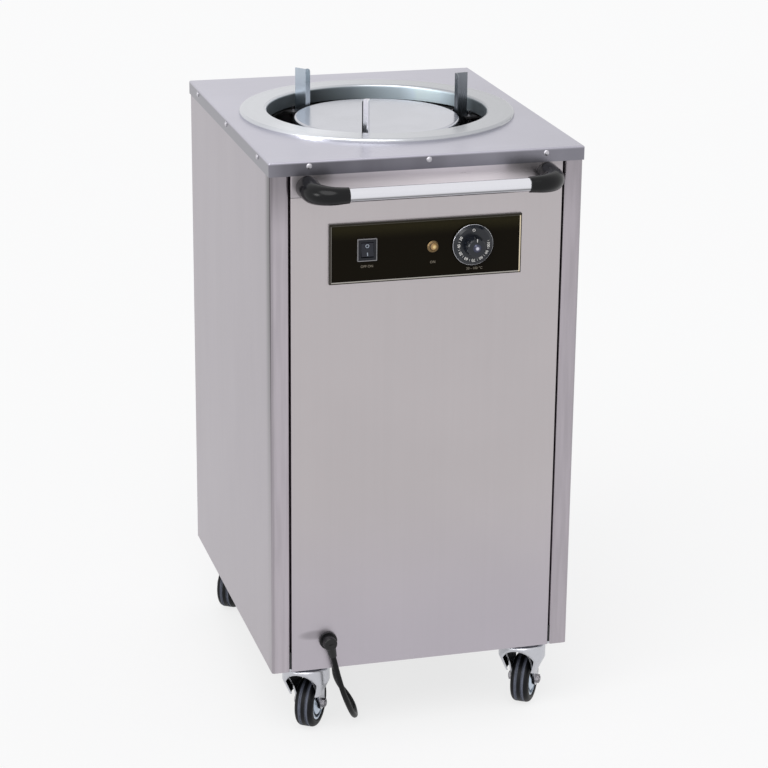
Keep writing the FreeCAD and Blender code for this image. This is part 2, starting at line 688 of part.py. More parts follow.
def heater():
    """Tubular heating loop over the base pan, its two cold ends turned down to the pan."""
    body = new_body("heater")
    sketch = new_sketch(body, "XZ_Plane")
    circle(sketch, d.heater_circle, d.heater_height, d.heater_radius)
    revolve(body, sketch, d.heater_arc)
    end = new_sketch(body, "XY_Plane", PAN_FLOOR)
    circle(end, d.heater_circle, 0, d.heater_radius)
    leg = pad(body, end, d.heater_height - PAN_FLOOR)
    polar(body, end, [leg], 2, d.heater_arc)
    return place(body, turn=105)


def heater_brackets():
    """Three stands on the base pan with a saddle for the heating loop."""
    body = new_body("heater_brackets")
    sketch = new_sketch(body, "XY_Plane", PAN_FLOOR)
    half, wide = d.bracket_sheet / 2, d.bracket_width / 2
    rectangle(sketch, d.heater_circle - wide, -half, d.heater_circle + wide, half)
    stand = pad(body, sketch, d.heater_height - PAN_FLOOR)
    polar(body, sketch, [stand])
    seat = new_sketch(body, "XZ_Plane")
    circle(seat, d.heater_circle, d.heater_height, d.heater_radius + d.running_gap)
    revolve(body, seat, 360, "Groove")
    return place(body, turn=35)


# ---- control plate -----------------------------------------------------------------------------------

def control_plate():
    """Glossy plate on the front panel, its badge place left bare."""
    body = new_body("control_plate")
    sketch = new_sketch(body, "XZ_Plane", HALF_Y)
    half_x = d.plate_width / 2 - d.frame_width
    half_z = d.plate_depth / 2 - d.frame_width
    rectangle(sketch, d.plate_x - half_x, d.plate_height - half_z,
              d.plate_x + half_x, d.plate_height + half_z)
    control_cuts(sketch)
    pad(body, sketch, d.plate_sheet)
    return place(body)


def control_frame():
    """Thin metal frame round the control plate."""
    body = new_body("control_frame")
    sketch = new_sketch(body, "XZ_Plane", HALF_Y)
    for border in (0, d.frame_width):
        half_x, half_z = d.plate_width / 2 - border, d.plate_depth / 2 - border
        rectangle(sketch, d.plate_x - half_x, d.plate_height - half_z,
                  d.plate_x + half_x, d.plate_height + half_z)
    pad(body, sketch, d.frame_proud)
    return place(body)


def rocker_frame():
    """Switch housing: flange on the plate and a box behind it, open in front for the rocker."""
    body = new_body("rocker_frame")
    half_x, half_z, wall = d.rocker_width / 2, d.rocker_depth / 2, d.rocker_wall
    flange = new_sketch(body, "XZ_Plane", d.plate_sheet)
    rectangle(flange, -half_x, -half_z, half_x, half_z, 1)
    pad(body, flange, d.plate_sheet)
    box = new_sketch(body, "XZ_Plane", d.plate_sheet)
    rectangle(box, wall * 1 - 2 - half_x, wall - 2 - half_z, half_x - wall + 2, half_z - wall + 2)
    pad(body, box, d.rocker_box, backwards=True)
    mouth = new_sketch(body, "XZ_Plane", d.plate_sheet * 2)
    rectangle(mouth, wall - half_x, wall - half_z, half_x - wall, half_z - wall)
    pocket(body, mouth, d.rocker_box - 2)
    return place(body, d.rocker_x, -HALF_Y, d.rocker_height)


def rocker():
    """See-saw button: round ends about its pivot, a shallow hollow in front, resting on its upper side."""
    body = new_body("rocker")
    half_x = d.rocker_width / 2 - d.rocker_wall - d.fit_gap
    end = d.rocker_depth / 2 - d.rocker_wall - d.fit_gap
    face = d.plate_sheet * 2 + 1.2
    sketch = new_sketch(body, "YZ_Plane")
    circle(sketch, 0, 0, end)
    pad(body, sketch, half_x * 2, both=True)
    trim = new_sketch(body, "YZ_Plane")
    outline(trim, [(-end - 1, -end - 1), (-face, -end - 1), (1.4 - face, 0), (-face, end + 1),
                   (-end - 1, end + 1)])
    rectangle(trim, 3, -end - 1, end + 1, end + 1)
    pocket(body, trim)
    return place(body, d.rocker_x, -HALF_Y, d.rocker_height, d.rocker_throw / -2, (1, 0, 0))


def lamp_bezel():
    """Chromed ring with a threaded barrel through the plate."""
    body = new_body("lamp_bezel")
    sketch = new_sketch(body, "XY_Plane")
    r, hole = d.lamp_radius, d.lamp_hole
    front = -d.plate_sheet
    outline(sketch, [(0, 14), (hole, 14), (hole, front), (r, front), (r, front - 1.2), (r - 1.6, front - 2.6),
                     (r - 3, front - 2.6), (r - 3, front - 0.6), (0, front - 0.6)])
    revolve(body, sketch)
    return place(body, d.lamp_x, -HALF_Y, d.control_height)


def lamp_lens():
    """Domed amber lens seated in the bezel."""
    body = new_body("lamp_lens")
    sketch = new_sketch(body, "XY_Plane")
    r = d.lamp_radius - 3 - d.running_gap
    seat = -d.plate_sheet - 0.6
    outline(sketch, [(0, seat), (0, seat - 4.2), (r * 0.4, seat - 4), (r * 0.78, seat - 3.2),
                     (r, seat - 1.6), (r, seat)])
    revolve(body, sketch)
    return place(body, d.lamp_x, -HALF_Y, d.control_height)


def thermostat():
    """Thermostat housing behind the panel, held by its bushing in the plate."""
    body = new_body("thermostat")
    half = d.thermostat_width / 2
    box = new_sketch(body, "XZ_Plane", -d.panel_sheet)
    rectangle(box, -half, -half, half, half, 3)
    pad(body, box, d.thermostat_depth, backwards=True)
    bushing = new_sketch(body, "XZ_Plane", -d.panel_sheet)
    circle(bushing, 0, 0, d.bushing_radius)
    pad(body, bushing, d.panel_sheet + d.plate_sheet)
    bore = new_sketch(body, "XZ_Plane", d.plate_sheet)
    circle(bore, 0, 0, d.shaft_radius + d.running_gap)
    pocket(body, bore, d.plate_sheet + d.panel_sheet + 12)
    return place(body, d.dial_x, -HALF_Y, d.control_height)


def thermostat_shaft():
    """Shaft that the dial turns."""
    body = new_body("thermostat_shaft")
    sketch = new_sketch(body, "XZ_Plane", -d.panel_sheet - 11)
    circle(sketch, 0, 0, d.shaft_radius)
    pad(body, sketch, d.panel_sheet + d.plate_sheet + 11 + 12)
    return place(body, d.dial_x, -HALF_Y, d.control_height)


def dial():
    """Moulded dial: a coned skirt and a tapered grip with finger flutes."""
    body = new_body("dial")
    back = -d.plate_sheet - 0.8
    brow = back - d.dial_skirt
    nose = back - d.grip_reach
    r, grip = d.dial_radius, d.grip_radius
    sketch = new_sketch(body, "XY_Plane")
    outline(sketch, [(0, nose), (grip - 3, nose), (grip - 1.5, nose + 1.5), (grip, brow), (r - 4, brow),
                     (r, brow + 3), (r, back), (0, back)])
    revolve(body, sketch)
    bore = new_sketch(body, "XZ_Plane", d.plate_sheet + 0.8)
    circle(bore, 0, 0, d.shaft_radius + d.running_gap)
    pocket(body, bore, 12, backwards=True)
    recess = new_sketch(body, "XZ_Plane", -nose)
    circle(recess, 0, 0, d.dial_cap_radius + d.running_gap)
    pocket(body, recess, 2)
    return place(body, d.dial_x, -HALF_Y, d.control_height)


def dial_cap():
    """Bright cap let into the nose of the grip."""
    body = new_body("dial_cap")
    nose = -d.plate_sheet - 0.8 - d.grip_reach
    sketch = new_sketch(body, "XY_Plane")
    r = d.dial_cap_radius
    outline(sketch, [(0, nose + 2), (0, nose - 1.6), (r - 2.4, nose - 1.2), (r, nose + 0.2), (r, nose + 2)])
    revolve(body, sketch)
    return place(body, d.dial_x, -HALF_Y, d.control_height)


# ---- handle ------------------------------------------------------------------------------------------

def handle_tube():
    """Polished tube between the elbows."""
    body = new_body("handle_tube")
    sketch = new_sketch(body, "YZ_Plane")
    circle(sketch, 0, 0, d.tube_radius)
    circle(sketch, 0, 0, d.tube_radius - d.tube_wall)
    pad(body, sketch, (d.elbow_end + d.socket_depth) * 2, both=True)
    return place(body, 0, -HALF_Y - d.handle_standoff, d.handle_height)


def handle_elbow(label, turn):
    """Moulded elbow: broad where it stands on the panel, swept round and drawn in to the tube's socket."""
    body = new_body(label)
    line = new_sketch(body, "XY_Plane")
    reach, bend, end = d.handle_standoff, d.elbow_bend, d.elbow_end
    route(line, [(d.elbow_x, 0), (d.elbow_x, bend - reach), (d.elbow_x - bend, -reach), (end, -reach)], bend)
    stations = [("XZ_Plane", 0, d.elbow_x, d.elbow_foot), ("XZ_Plane", reach - bend, d.elbow_x, d.elbow_knuckle),
                ("YZ_Plane", d.elbow_x - bend, -reach, d.elbow_radius), ("YZ_Plane", end, -reach, d.elbow_mouth)]
    sections = []
    for role, offset, across, radius in stations:
        section = new_sketch(body, role, offset)
        circle(section, across, 0, radius)
        sections.append(section)
    sweep = body.newObject("PartDesign::AdditivePipe", f"{label}_sweep")
    sweep.Profile = sections[0]
    sweep.Spine = (line, ["Edge1", "Edge2", "Edge3"])
    sweep.Transformation = "Multisection"
    sweep.Sections = [(section, [""]) for section in sections[1:]]
    socket = new_sketch(body, "YZ_Plane", end)
    circle(socket, -reach, 0, d.tube_radius + d.running_gap)
    pocket(body, socket, d.socket_depth + d.fit_gap, backwards=True)
    return place(body, 0, -HALF_Y, d.handle_height, turn, (0, 1, 0))


def route(sketch, points, bend):
    """Straight run, quarter arc and straight run of a bent part's centre line."""
    vectors = [FreeCAD.Vector(as_size(x).value, as_size(y).value, 0) for x, y in points]
    first = sketch.addGeometry(Part.LineSegment(vectors[0], vectors[1]), False)
    centre = FreeCAD.Vector(vectors[2].x, vectors[1].y, 0)
    arc = sketch.addGeometry(Part.ArcOfCircle(
        Part.Circle(centre, FreeCAD.Vector(0, 0, 1), as_size(bend).value), -math.pi / 2, 0), False)
    last = sketch.addGeometry(Part.LineSegment(vectors[2], vectors[3]), False)
    pin_point(sketch, first, 1, *points[0])
    pin_point(sketch, first, 2, *points[1])
    sketch.addConstraint(Sketcher.Constraint("Coincident", arc, 2, first, 2))
    pin_point(sketch, arc, 1, *points[2])
    pin_radius(sketch, arc, bend)
    sketch.addConstraint(Sketcher.Constraint("Coincident", last, 1, arc, 1))
    pin_point(sketch, last, 2, *points[3])


# ---- casters -----------------------------------------------------------------------------------------

def caster_plates():
    """Four mounting plates with the swivel race under each."""
    body = new_body("caster_plates")
    sketch = new_sketch(body, "XY_Plane", PLATE_UNDER)
    half_x, half_y = d.caster_plate_x / 2, d.caster_plate_y / 2
    for x, y in corners_of(PIVOT_X, PIVOT_Y):
        rectangle(sketch, x - half_x, y - half_y, x + half_x, y + half_y, 5)
    for x, y in caster_bolt_places():
        circle(sketch, x, y, d.bolt_radius + d.running_gap * 2)
    pad(body, sketch, d.caster_plate_sheet)
    races = new_sketch(body, "XY_Plane", FORK_TOP + d.running_gap)
    for x, y in corners_of(PIVOT_X, PIVOT_Y):
        circle(races, x, y, d.race_radius)
    pad(body, races, d.race_rise - d.running_gap)
    return place(body)


def caster_bolts():
    """Four bolts a caster, up through the mounting plate and the base pan."""
    body = new_body("caster_bolts")
    heads = new_sketch(body, "XY_Plane", PLATE_UNDER)
    shanks = new_sketch(body, "XY_Plane", PLATE_UNDER)
    r = d.bolt_head
    for x, y in caster_bolt_places():
        outline(heads, [(x + r * math.cos(math.radians(a)), y + r * math.sin(math.radians(a)))
                        for a in range(0, 360, 60)])
        circle(shanks, x, y, d.bolt_radius)
    pad(body, heads, d.bolt_head_rise, backwards=True)
    pad(body, shanks, PAN_FLOOR - PLATE_UNDER + 5)
    return place(body)


def heading(y):
    """The way a caster trails: the rear ones opposite to the front ones."""
    return d.caster_heading - (180 if y.value > 0 else 0)


def at_caster(body, x, y):
    return place(body, x, y, 0, heading(y))


def caster_fork(label, x, y):
    """Pressed fork: a bonnet under the race, drawn in below, its rim swept back to two flat legs."""
    body = new_body(label)
    axle_z, boss, r, t = d.wheel_radius, d.fork_boss, d.hood_radius, d.fork_sheet
    wall, foot, foot_r = FORK_TOP - d.hood_wall, FORK_TOP - d.hood_foot, d.hood_foot_radius
    hood = new_sketch(body, "XZ_Plane")
    outline(hood, [(0, FORK_TOP - t), (r - t, FORK_TOP - t, d.hood_edge - t), (r - t, wall), (foot_r - t, foot),
                   (foot_r, foot), (r, wall), (r, FORK_TOP, d.hood_edge), (0, FORK_TOP)])
    revolve(body, hood)
    rim = new_sketch(body, "XZ_Plane")
    outline(rim, [(-r - 2, foot - 1), (foot_r * -0.52, foot - 1), Bend(-r - 2, FORK_TOP - 1.5, d.rim_sweep)])
    pocket(body, rim)
    slot = new_sketch(body, "YZ_Plane")
    rectangle(slot, -FORK_INNER, 0, FORK_INNER, FORK_TOP - d.hood_slot, boss)
    pocket(body, slot)
    front, back = (t + 3 - r), (r - t - 3)
    for side, backwards in ((1, False), (-1, True)):
        leg = new_sketch(body, "XZ_Plane", FORK_INNER * side)
        outline(leg, [(front, FORK_TOP - d.hood_edge), (front, FORK_TOP - d.rim_drop),
                      Bend(d.trail - boss, axle_z, -d.leg_sweep), Bend(d.trail, axle_z - boss, boss),
                      Bend(d.trail + boss, axle_z, boss), (back, wall), (back, FORK_TOP - d.hood_edge),
                      (d.trail, FORK_TOP - t), (-d.trail, FORK_TOP - t)])
        pad(body, leg, t, backwards=backwards)
    hole = new_sketch(body, "XZ_Plane")
    circle(hole, d.trail, axle_z, d.axle_radius + d.running_gap * 2)
    pocket(body, hole)
    return at_caster(body, x, y)


def caster_axle(label, x, y):
    """Axle bolt across the fork with a hexagon at each end."""
    body = new_body(label)
    shaft = new_sketch(body, "XZ_Plane")
    circle(shaft, d.trail, d.wheel_radius, d.axle_radius)
    pad(body, shaft, FORK_OUTER * 2 + 12, both=True)
    for side, backwards in ((1, False), (-1, True)):
        head = new_sketch(body, "XZ_Plane", FORK_OUTER * side)
        r = d.axle_radius * 1.7
        outline(head, [(d.trail + r * math.cos(math.radians(a)), d.wheel_radius + r * math.sin(math.radians(a)))
                       for a in range(0, 360, 60)])
        pad(body, head, 5, backwards=backwards)
    return at_caster(body, x, y)


def caster_hub(label, x, y):
    """Wheel centre: domed caps round the bore, a groove and a raised rim."""
    body = new_body(label)
    sketch = new_sketch(body, "XY_Plane")
    bore, rim, dome, half = d.axle_radius + d.running_gap, d.hub_radius, d.dome_radius, d.wheel_width / 2
    face, brow, groove = half + d.fork_clearance - 0.6, half - 1.5, half - 4
    boss = bore + 5
    outline(sketch, [(bore, -face), (boss, -face), Bend(dome, -brow, d.wheel_width), (dome + 1, -groove),
                     (rim - 3.5, -groove), (rim - 3, -brow), (rim, -brow), (rim, brow), (rim - 3, brow),
                     (rim - 3.5, groove), (dome + 1, groove), (dome, brow), Bend(boss, face, d.wheel_width),
                     (bore, face)])
    revolve(body, sketch)
    return wheel_place(body, x, y)


def caster_tyre(label, x, y):
    """Tyre with rounded shoulders and two grooves round its tread."""
    body = new_body(label)
    sketch = new_sketch(body, "XY_Plane")
    inner, outer, half = d.hub_radius + d.running_gap, d.wheel_radius, d.wheel_width / 2
    g, near, far, shoulder = d.tyre_groove, d.groove_near, d.groove_far, d.tyre_shoulder
    outline(sketch, [(inner, 2 - half), (inner + 2, -half), (outer - shoulder, -half),
                     Bend(outer, shoulder - half, shoulder), (outer, -far), (outer - g, -far),
                     (outer - g, -near), (outer, -near), (outer, near), (outer - g, near), (outer - g, far),
                     (outer, far), (outer, half - shoulder), Bend(outer - shoulder, half, shoulder),
                     (inner + 2, half), (inner, half - 2)])
    revolve(body, sketch)
    return wheel_place(body, x, y)


def wheel_place(body, x, y):
    """A wheel's axle lies across the fork at the end of the trail."""
    body.Placement = FreeCAD.Placement(FreeCAD.Vector(0, 0, 0), FreeCAD.Rotation(FreeCAD.Vector(0, 0, 1), 1))
    turn = heading(y)
    body.setExpression("Placement.Base.x", f"{x.formula} + {d.trail.formula} * cos({turn.formula})")
    body.setExpression("Placement.Base.y", f"{(SHIFT + y).formula} + {d.trail.formula} * sin({turn.formula})")
    bind(body, "Placement.Base.z", d.wheel_radius)
    bind(body, "Placement.Rotation.Angle", turn)
    return body


# ---- cord --------------------------------------------------------------------------------------------

def vector(x, y, z):
    """A point of the cord; y counts from the cabinet's middle."""
    return FreeCAD.Vector(as_size(x).value, as_size(y).value + SHIFT.value, as_size(z).value)


GLAND_TURN = math.radians(d.gland_tilt.value)
SPOUT_X = GLAND_X.value + d.gland_spout.value * math.sin(GLAND_TURN)
SPOUT_Z = d.gland_height.value - d.gland_spout.value * math.cos(GLAND_TURN)
CORD_Y = -HALF_Y.value - d.gland_reach.value
FLOOR_Z = d.cord_radius.value
COIL_Z = d.tie_sheet.value + 0.2 + d.cord_radius.value
COIL_START_X = d.coil_x.value - d.coil_radius.value
CORD_DIAMETER = 2 * d.cord_radius.value
FIRST_RUN = 50


def cord_points():
    """The free cord's route: down from the gland, back under the cart and along the floor to the coil."""
    return [
        vector(SPOUT_X, CORD_Y, SPOUT_Z),
        vector(SPOUT_X + FIRST_RUN * math.sin(GLAND_TURN), CORD_Y, SPOUT_Z - FIRST_RUN * math.cos(GLAND_TURN)),
        vector(-105, CORD_Y + 15, 33),
        vector(-87, -232, 5),
        vector(-78, -172, FLOOR_Z),
        vector(-86, -96, FLOOR_Z),
        vector(-68, -22, FLOOR_Z),
        vector(COIL_START_X, 44, COIL_Z),
        vector(COIL_START_X, d.coil_y.value - CORD_DIAMETER, COIL_Z)]


def round_tube(edges, radius):
    """Sweep a round section along joined edges."""
    path = Part.Wire(edges)
    start = edges[0].Curve.value(edges[0].FirstParameter)
    along = edges[0].tangentAt(edges[0].FirstParameter)
    ring = Part.Wire([Part.Edge(Part.Circle(start, along, radius))])
    return path, path.makePipeShell([ring], True, False)


def cord():
    """Free cord as straight runs joined by tangent arcs; prints its radii and compares its volume."""
    points = cord_points()
    runs = [b - a for a, b in zip(points, points[1:])]
    edges, radii, here = [], [], points[0]
    for i, corner in enumerate(points[1:-1], start=1):
        before, after = runs[i - 1], runs[i]
        half = before.getAngle(after) / 2
        cut = 0.45 * min(before.Length, after.Length)
        radii.append(round(cut / math.tan(half), 1))
        a = corner - FreeCAD.Vector(before).normalize() * cut
        b = corner + FreeCAD.Vector(after).normalize() * cut
        inward = (FreeCAD.Vector(after).normalize() - FreeCAD.Vector(before).normalize()).normalize()
        sag = cut / math.tan(half) * (1 / math.cos(half) - 1)
        edges.append(Part.LineSegment(here, a).toShape())
        edges.append(Part.Arc(a, corner + inward * sag, b).toShape())
        here = b
    edges.append(Part.LineSegment(here, points[-1]).toShape())
    path, tube = round_tube(edges, d.cord_radius.value)
    expected = math.pi * d.cord_radius.value ** 2 * path.Length
    print("cord: length", round(path.Length, 1), "radii", radii, "volume ratio", round(tube.Volume / expected, 5))
    feature = doc.addObject("Part::Feature", "cord")
    feature.Shape = tube
    return feature


def coil_edges():
    """Half turns that spiral in on the floor, climb, and spiral out on top; straight at both ends."""
    r, step_in, layer = d.coil_radius.value, d.coil_step.value, CORD_DIAMETER + d.coil_gap.value
    turns = 5
    radii = [r - step_in * k for k in range(turns)]
    z = COIL_Z
    x, side = -r, 1
    here = FreeCAD.Vector(x, 0, z)
    edges = [Part.LineSegment(here - FreeCAD.Vector(0, CORD_DIAMETER, 0), here).toShape()]
    halves = [(radius, 0) for radius in radii]
    halves.append((r - step_in * turns, layer))
    halves += [(radius, 0) for radius in radii[::-1]]
    for radius, climb in halves:
        end = here + FreeCAD.Vector(2 * radius * side, 0, climb)
        centre = (here + end) * 0.5
        reach = (end - here).Length / 2
        top = centre + FreeCAD.Vector(0, reach * side, 0)
        along = (end - here).normalize()
        corner = math.sqrt(0.5)
        quarter = centre - along * (reach * corner) + FreeCAD.Vector(0, reach * corner * side, 0)
        last_quarter = centre + along * (reach * corner) + FreeCAD.Vector(0, reach * corner * side, 0)
        edges.append(Part.Arc(here, quarter, top).toShape())
        edges.append(Part.Arc(top, last_quarter, end).toShape())
        here, side = end, -side
    tail = FreeCAD.Vector(0, CORD_DIAMETER * side, 0)
    edges.append(Part.LineSegment(here, here + tail).toShape())
    return edges, here + tail


def least_gap(edges, reach):
    """Smallest distance between points of the coil that lie more than half a turn apart."""
    points, along, total = [], [], 0
    for edge in edges:
        for point in edge.discretize(24)[1:]:
            if points:
                total += (point - points[-1]).Length
            points.append(point)
            along.append(total)
    gaps = [(a - b).Length for i, a in enumerate(points) for j, b in enumerate(points[:i])
            if along[i] - along[j] > reach]
    return min(gaps) - CORD_DIAMETER


def cord_coil():
    """The rest of the cord wound in two layers."""
    edges, _ = coil_edges()
    path, tube = round_tube(edges, d.cord_radius.value)
    expected = math.pi * d.cord_radius.value ** 2 * path.Length
    print("coil: length", round(path.Length, 1), "least gap", round(least_gap(edges, 90), 2),
          "volume ratio", round(tube.Volume / expected, 5))
    feature = doc.addObject("Part::Feature", "cord_coil")
    feature.Shape = tube
    feature.Placement = FreeCAD.Placement(vector(d.coil_x, d.coil_y, 0), FreeCAD.Rotation())
    return feature


def cord_tie():
    """Flat band round the coil's turns."""
    body = new_body("cord_tie")
    room = d.cord_radius + d.fit_gap
    inner = d.coil_radius - d.coil_step * 5 - room
    outer = d.coil_radius + room
    low, high = d.tie_sheet, d.tie_sheet + 0.2 + d.cord_radius * 4 + d.coil_gap + d.fit_gap
    sketch = new_sketch(body, "YZ_Plane")
    t = d.tie_sheet
    rectangle(sketch, inner - t, low - t, outer + t, high + t, t * 2)
    rectangle(sketch, inner, low, outer, high, t)
    pad(body, sketch, d.tie_width, both=True)
    return place(body, d.coil_x + d.coil_step, d.coil_y)


def plug():
    """Moulded right-angle plug lying on its back: neck, round body and two pins."""
    _, end = coil_edges()
    r, neck = d.plug_radius.value, d.plug_neck.value
    start = end + vector(d.coil_x, d.coil_y, 0)
    shaft = Part.makeCone(d.neck_tip.value, d.neck_radius.value, neck + 4, start, FreeCAD.Vector(0, -1, 0))
    middle = start - FreeCAD.Vector(0, neck + r, start.z - d.fit_gap.value)
    disc = Part.makeCylinder(r, d.plug_rise.value, middle)
    disc = disc.makeFillet(2.5, [e for e in disc.Edges if isinstance(e.Curve, Part.Circle)])
    solid = disc.fuse(shaft)
    for side in (-0.5, 0.5):
        foot = middle + FreeCAD.Vector(d.pin_spacing.value * side, 0, d.plug_rise.value - 2)
        solid = solid.fuse(Part.makeCylinder(d.pin_radius.value, d.pin_length.value + 2, foot))
    feature = doc.addObject("Part::Feature", "plug")
    feature.Shape = solid.removeSplitter()
    return feature


def cord_gland():
    """Round gland head on the panel with a tapered spout that points the cord down."""
    r, reach = d.gland_radius.value, d.gland_reach.value
    out = FreeCAD.Vector(0, -1, 0)
    face = vector(GLAND_X, -HALF_Y, d.gland_height)
    head = Part.makeCylinder(r, 4, face, out)
    dome = Part.makeCylinder(r - 3, reach + 7, face, out)
    dome = dome.makeFillet(3, [e for e in dome.Edges if e.BoundBox.YMax < face.y - 1 and len(e.Vertexes) == 1
                               and isinstance(e.Curve, Part.Circle)])
    thread = Part.makeCylinder(r - 3, 8, face, FreeCAD.Vector(0, 1, 0))
    end = vector(SPOUT_X, CORD_Y, SPOUT_Z)
    up = FreeCAD.Vector(-math.sin(GLAND_TURN), 0, math.cos(GLAND_TURN))
    spout = Part.makeCone(d.spout_end.value, d.spout_top.value, d.gland_spout.value, end, up)
    feature = doc.addObject("Part::Feature", "cord_gland")
    feature.Shape = head.fuse([dome, thread, spout]).removeSplitter()
    return feature


# ---- the whole cart ----------------------------------------------------------------------------------

def build():
    parts = [
        top_deck(), side_panel("side_panel_right", 0), side_panel("side_panel_left", 180), front_panel(),
        front_strip(), door("back_panel", d.panel_foot, DECK_UNDER, 180), base_pan(), corner_posts(),
        cabinet_screws(), ring_flange(), upper_ring(), guide_rods(), slide_rods(), platform(), carriage(),
        slide_bushes(), heater(), heater_brackets(), control_plate(), control_frame(), rocker_frame(),
        rocker(), lamp_bezel(), lamp_lens(), thermostat(), thermostat_shaft(), dial(), dial_cap(),
        handle_tube(), handle_elbow("handle_elbow_right", 0), handle_elbow("handle_elbow_left", 180),
        caster_plates(), caster_bolts(), cord_gland(), cord(), cord_coil(), cord_tie(), plug()]
    for number, turn in enumerate(THIRDS, start=1):
        parts.append(plate_guide(number, turn))
        parts.append(lift_spring(number, turn))
    corners = {"fl": (-1, -1), "fr": (1, -1), "bl": (-1, 1), "br": (1, 1)}
    for name, (sx, sy) in corners.items():
        x, y = PIVOT_X * sx, PIVOT_Y * sy
        parts += [caster_fork(f"fork_{name}", x, y), caster_axle(f"axle_{name}", x, y),
                  caster_hub(f"hub_{name}", x, y), caster_tyre(f"tyre_{name}", x, y)]
    return parts


def check(parts):
    for thing in doc.Objects:
        if "Invalid" in thing.State or "Error" in thing.State:
            raise RuntimeError(f"{thing.Name}: {thing.State}")
    for part in parts:
        shape = part.Shape
        if shape.isNull() or not shape.isValid() or not shape.Solids:
            raise RuntimeError(f"{part.Label}: no valid solid")


parts = build()
doc.recompute()
check(parts)
os.makedirs("parts", exist_ok=True)
for part in parts:
    part.Shape.exportStep(f"parts/{part.Label}.step")
print(len(parts), "sub-parts")
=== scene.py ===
import json
import math

import bmesh
import bpy
from mathutils import Matrix, Vector


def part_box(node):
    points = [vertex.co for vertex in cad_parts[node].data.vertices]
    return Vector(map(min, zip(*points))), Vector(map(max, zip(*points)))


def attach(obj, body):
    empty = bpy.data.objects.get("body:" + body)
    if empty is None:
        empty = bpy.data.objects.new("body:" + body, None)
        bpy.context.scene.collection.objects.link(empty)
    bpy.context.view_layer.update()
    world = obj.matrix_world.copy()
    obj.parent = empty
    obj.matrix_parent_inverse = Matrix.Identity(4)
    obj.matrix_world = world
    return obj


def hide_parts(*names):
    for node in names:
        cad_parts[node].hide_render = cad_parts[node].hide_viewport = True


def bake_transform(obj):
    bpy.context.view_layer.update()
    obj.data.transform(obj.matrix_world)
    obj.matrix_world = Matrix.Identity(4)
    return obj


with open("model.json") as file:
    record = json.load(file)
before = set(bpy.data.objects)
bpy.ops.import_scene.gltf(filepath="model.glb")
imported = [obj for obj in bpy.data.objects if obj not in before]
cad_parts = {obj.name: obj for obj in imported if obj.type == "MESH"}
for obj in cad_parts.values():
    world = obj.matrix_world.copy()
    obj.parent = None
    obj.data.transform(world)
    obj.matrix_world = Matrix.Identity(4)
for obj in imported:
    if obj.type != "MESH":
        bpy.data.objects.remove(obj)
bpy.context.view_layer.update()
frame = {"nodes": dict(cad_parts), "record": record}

NODES = frame["nodes"]
JOINTS = {joint["name"]: joint for joint in frame["record"]["behaviour"]["joints"]}

# Places of the cart, in metres. The cabinet's middle is at y MIDDLE and its front face at y FRONT.
MIDDLE = 0.03165
FRONT = MIDDLE - 0.275
DECK_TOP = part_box("top_deck")[1][2]
RING_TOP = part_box("ring_flange")[1][2]
WELL = Vector((0, MIDDLE, 0))
WELL_RADIUS = 0.162
BODY_HALF = 0.225
PANEL_FOOT = DECK_TOP - 0.760
TUBE_HEIGHT = DECK_TOP - 0.037
PLATE_MIDDLE, PLATE_HEIGHT = -0.003, DECK_TOP - 0.134
PLATE_HALF_WIDTH, PLATE_HALF_HEIGHT = 0.1380, 0.0420
SWITCH = Vector(JOINTS["rocker_tip"]["pos_m"])
SWITCH_HALF_WIDTH, SWITCH_HALF_HEIGHT = 0.0133, 0.0153
DIAL = Vector(JOINTS["dial_turn"]["pos_m"])
LAMP = Vector((0.007, FRONT, DIAL.z))
WHEEL_RADIUS = 0.0375
NEAR_GUIDE = math.radians(248)
GUIDE_RADIUS, GUIDE_HALF = 0.129, 0.0055


# ---- camera ------------------------------------------------------------------------------------------

def set_camera():
    """The photograph's view: a long lens, a little left of the front and above the deck."""
    stand = Vector((-0.95646, -3.45662, DECK_TOP + 0.80930))
    aim = Vector((0.015448, MIDDLE, DECK_TOP - 0.426238))
    roll = math.radians(0.561)
    ahead = (aim - stand).normalized()
    level = ahead.cross(Vector((0, 0, 1))).normalized()
    upright = level.cross(ahead)
    right = level * math.cos(roll) + upright * math.sin(roll)
    up = upright * math.cos(roll) - level * math.sin(roll)
    data = bpy.data.cameras.new("camera")
    data.lens, data.sensor_width = 117.1, 36
    camera = bpy.data.objects.new("camera", data)
    camera.matrix_world = Matrix.Translation(stand) @ Matrix((right, up, -ahead)).transposed().to_4x4()
    bpy.context.scene.collection.objects.link(camera)
    bpy.context.scene.camera = camera


set_camera()


# ---- the cord ----------------------------------------------------------------------------------------

CORD_RADIUS, CORD_LENGTH = 0.004, 2.0
CORD_ROUTE = [
    (-0.13713, -0.2870, 0.13455), (-0.12605, -0.2870, 0.08579), (-0.1050, -0.2720, 0.0330),
    (-0.0870, -0.2320, 0.0050), (-0.0780, -0.1720, 0.0040), (-0.0860, -0.0960, 0.0040),
    (-0.0680, -0.0220, 0.0040), (-0.0750, 0.0440, 0.0054), (-0.0750, 0.1020, 0.0054)]
COIL_CENTRE = (-0.022, 0.110)
COIL_FLOOR = 0.0054
COIL_RADII = (0.0530, 0.0487, 0.0444, 0.0401, 0.0358)
COIL_TURNING = 0.0315
COIL_CLIMB = 0.0086
POINTS_A_HALF_TURN = 8


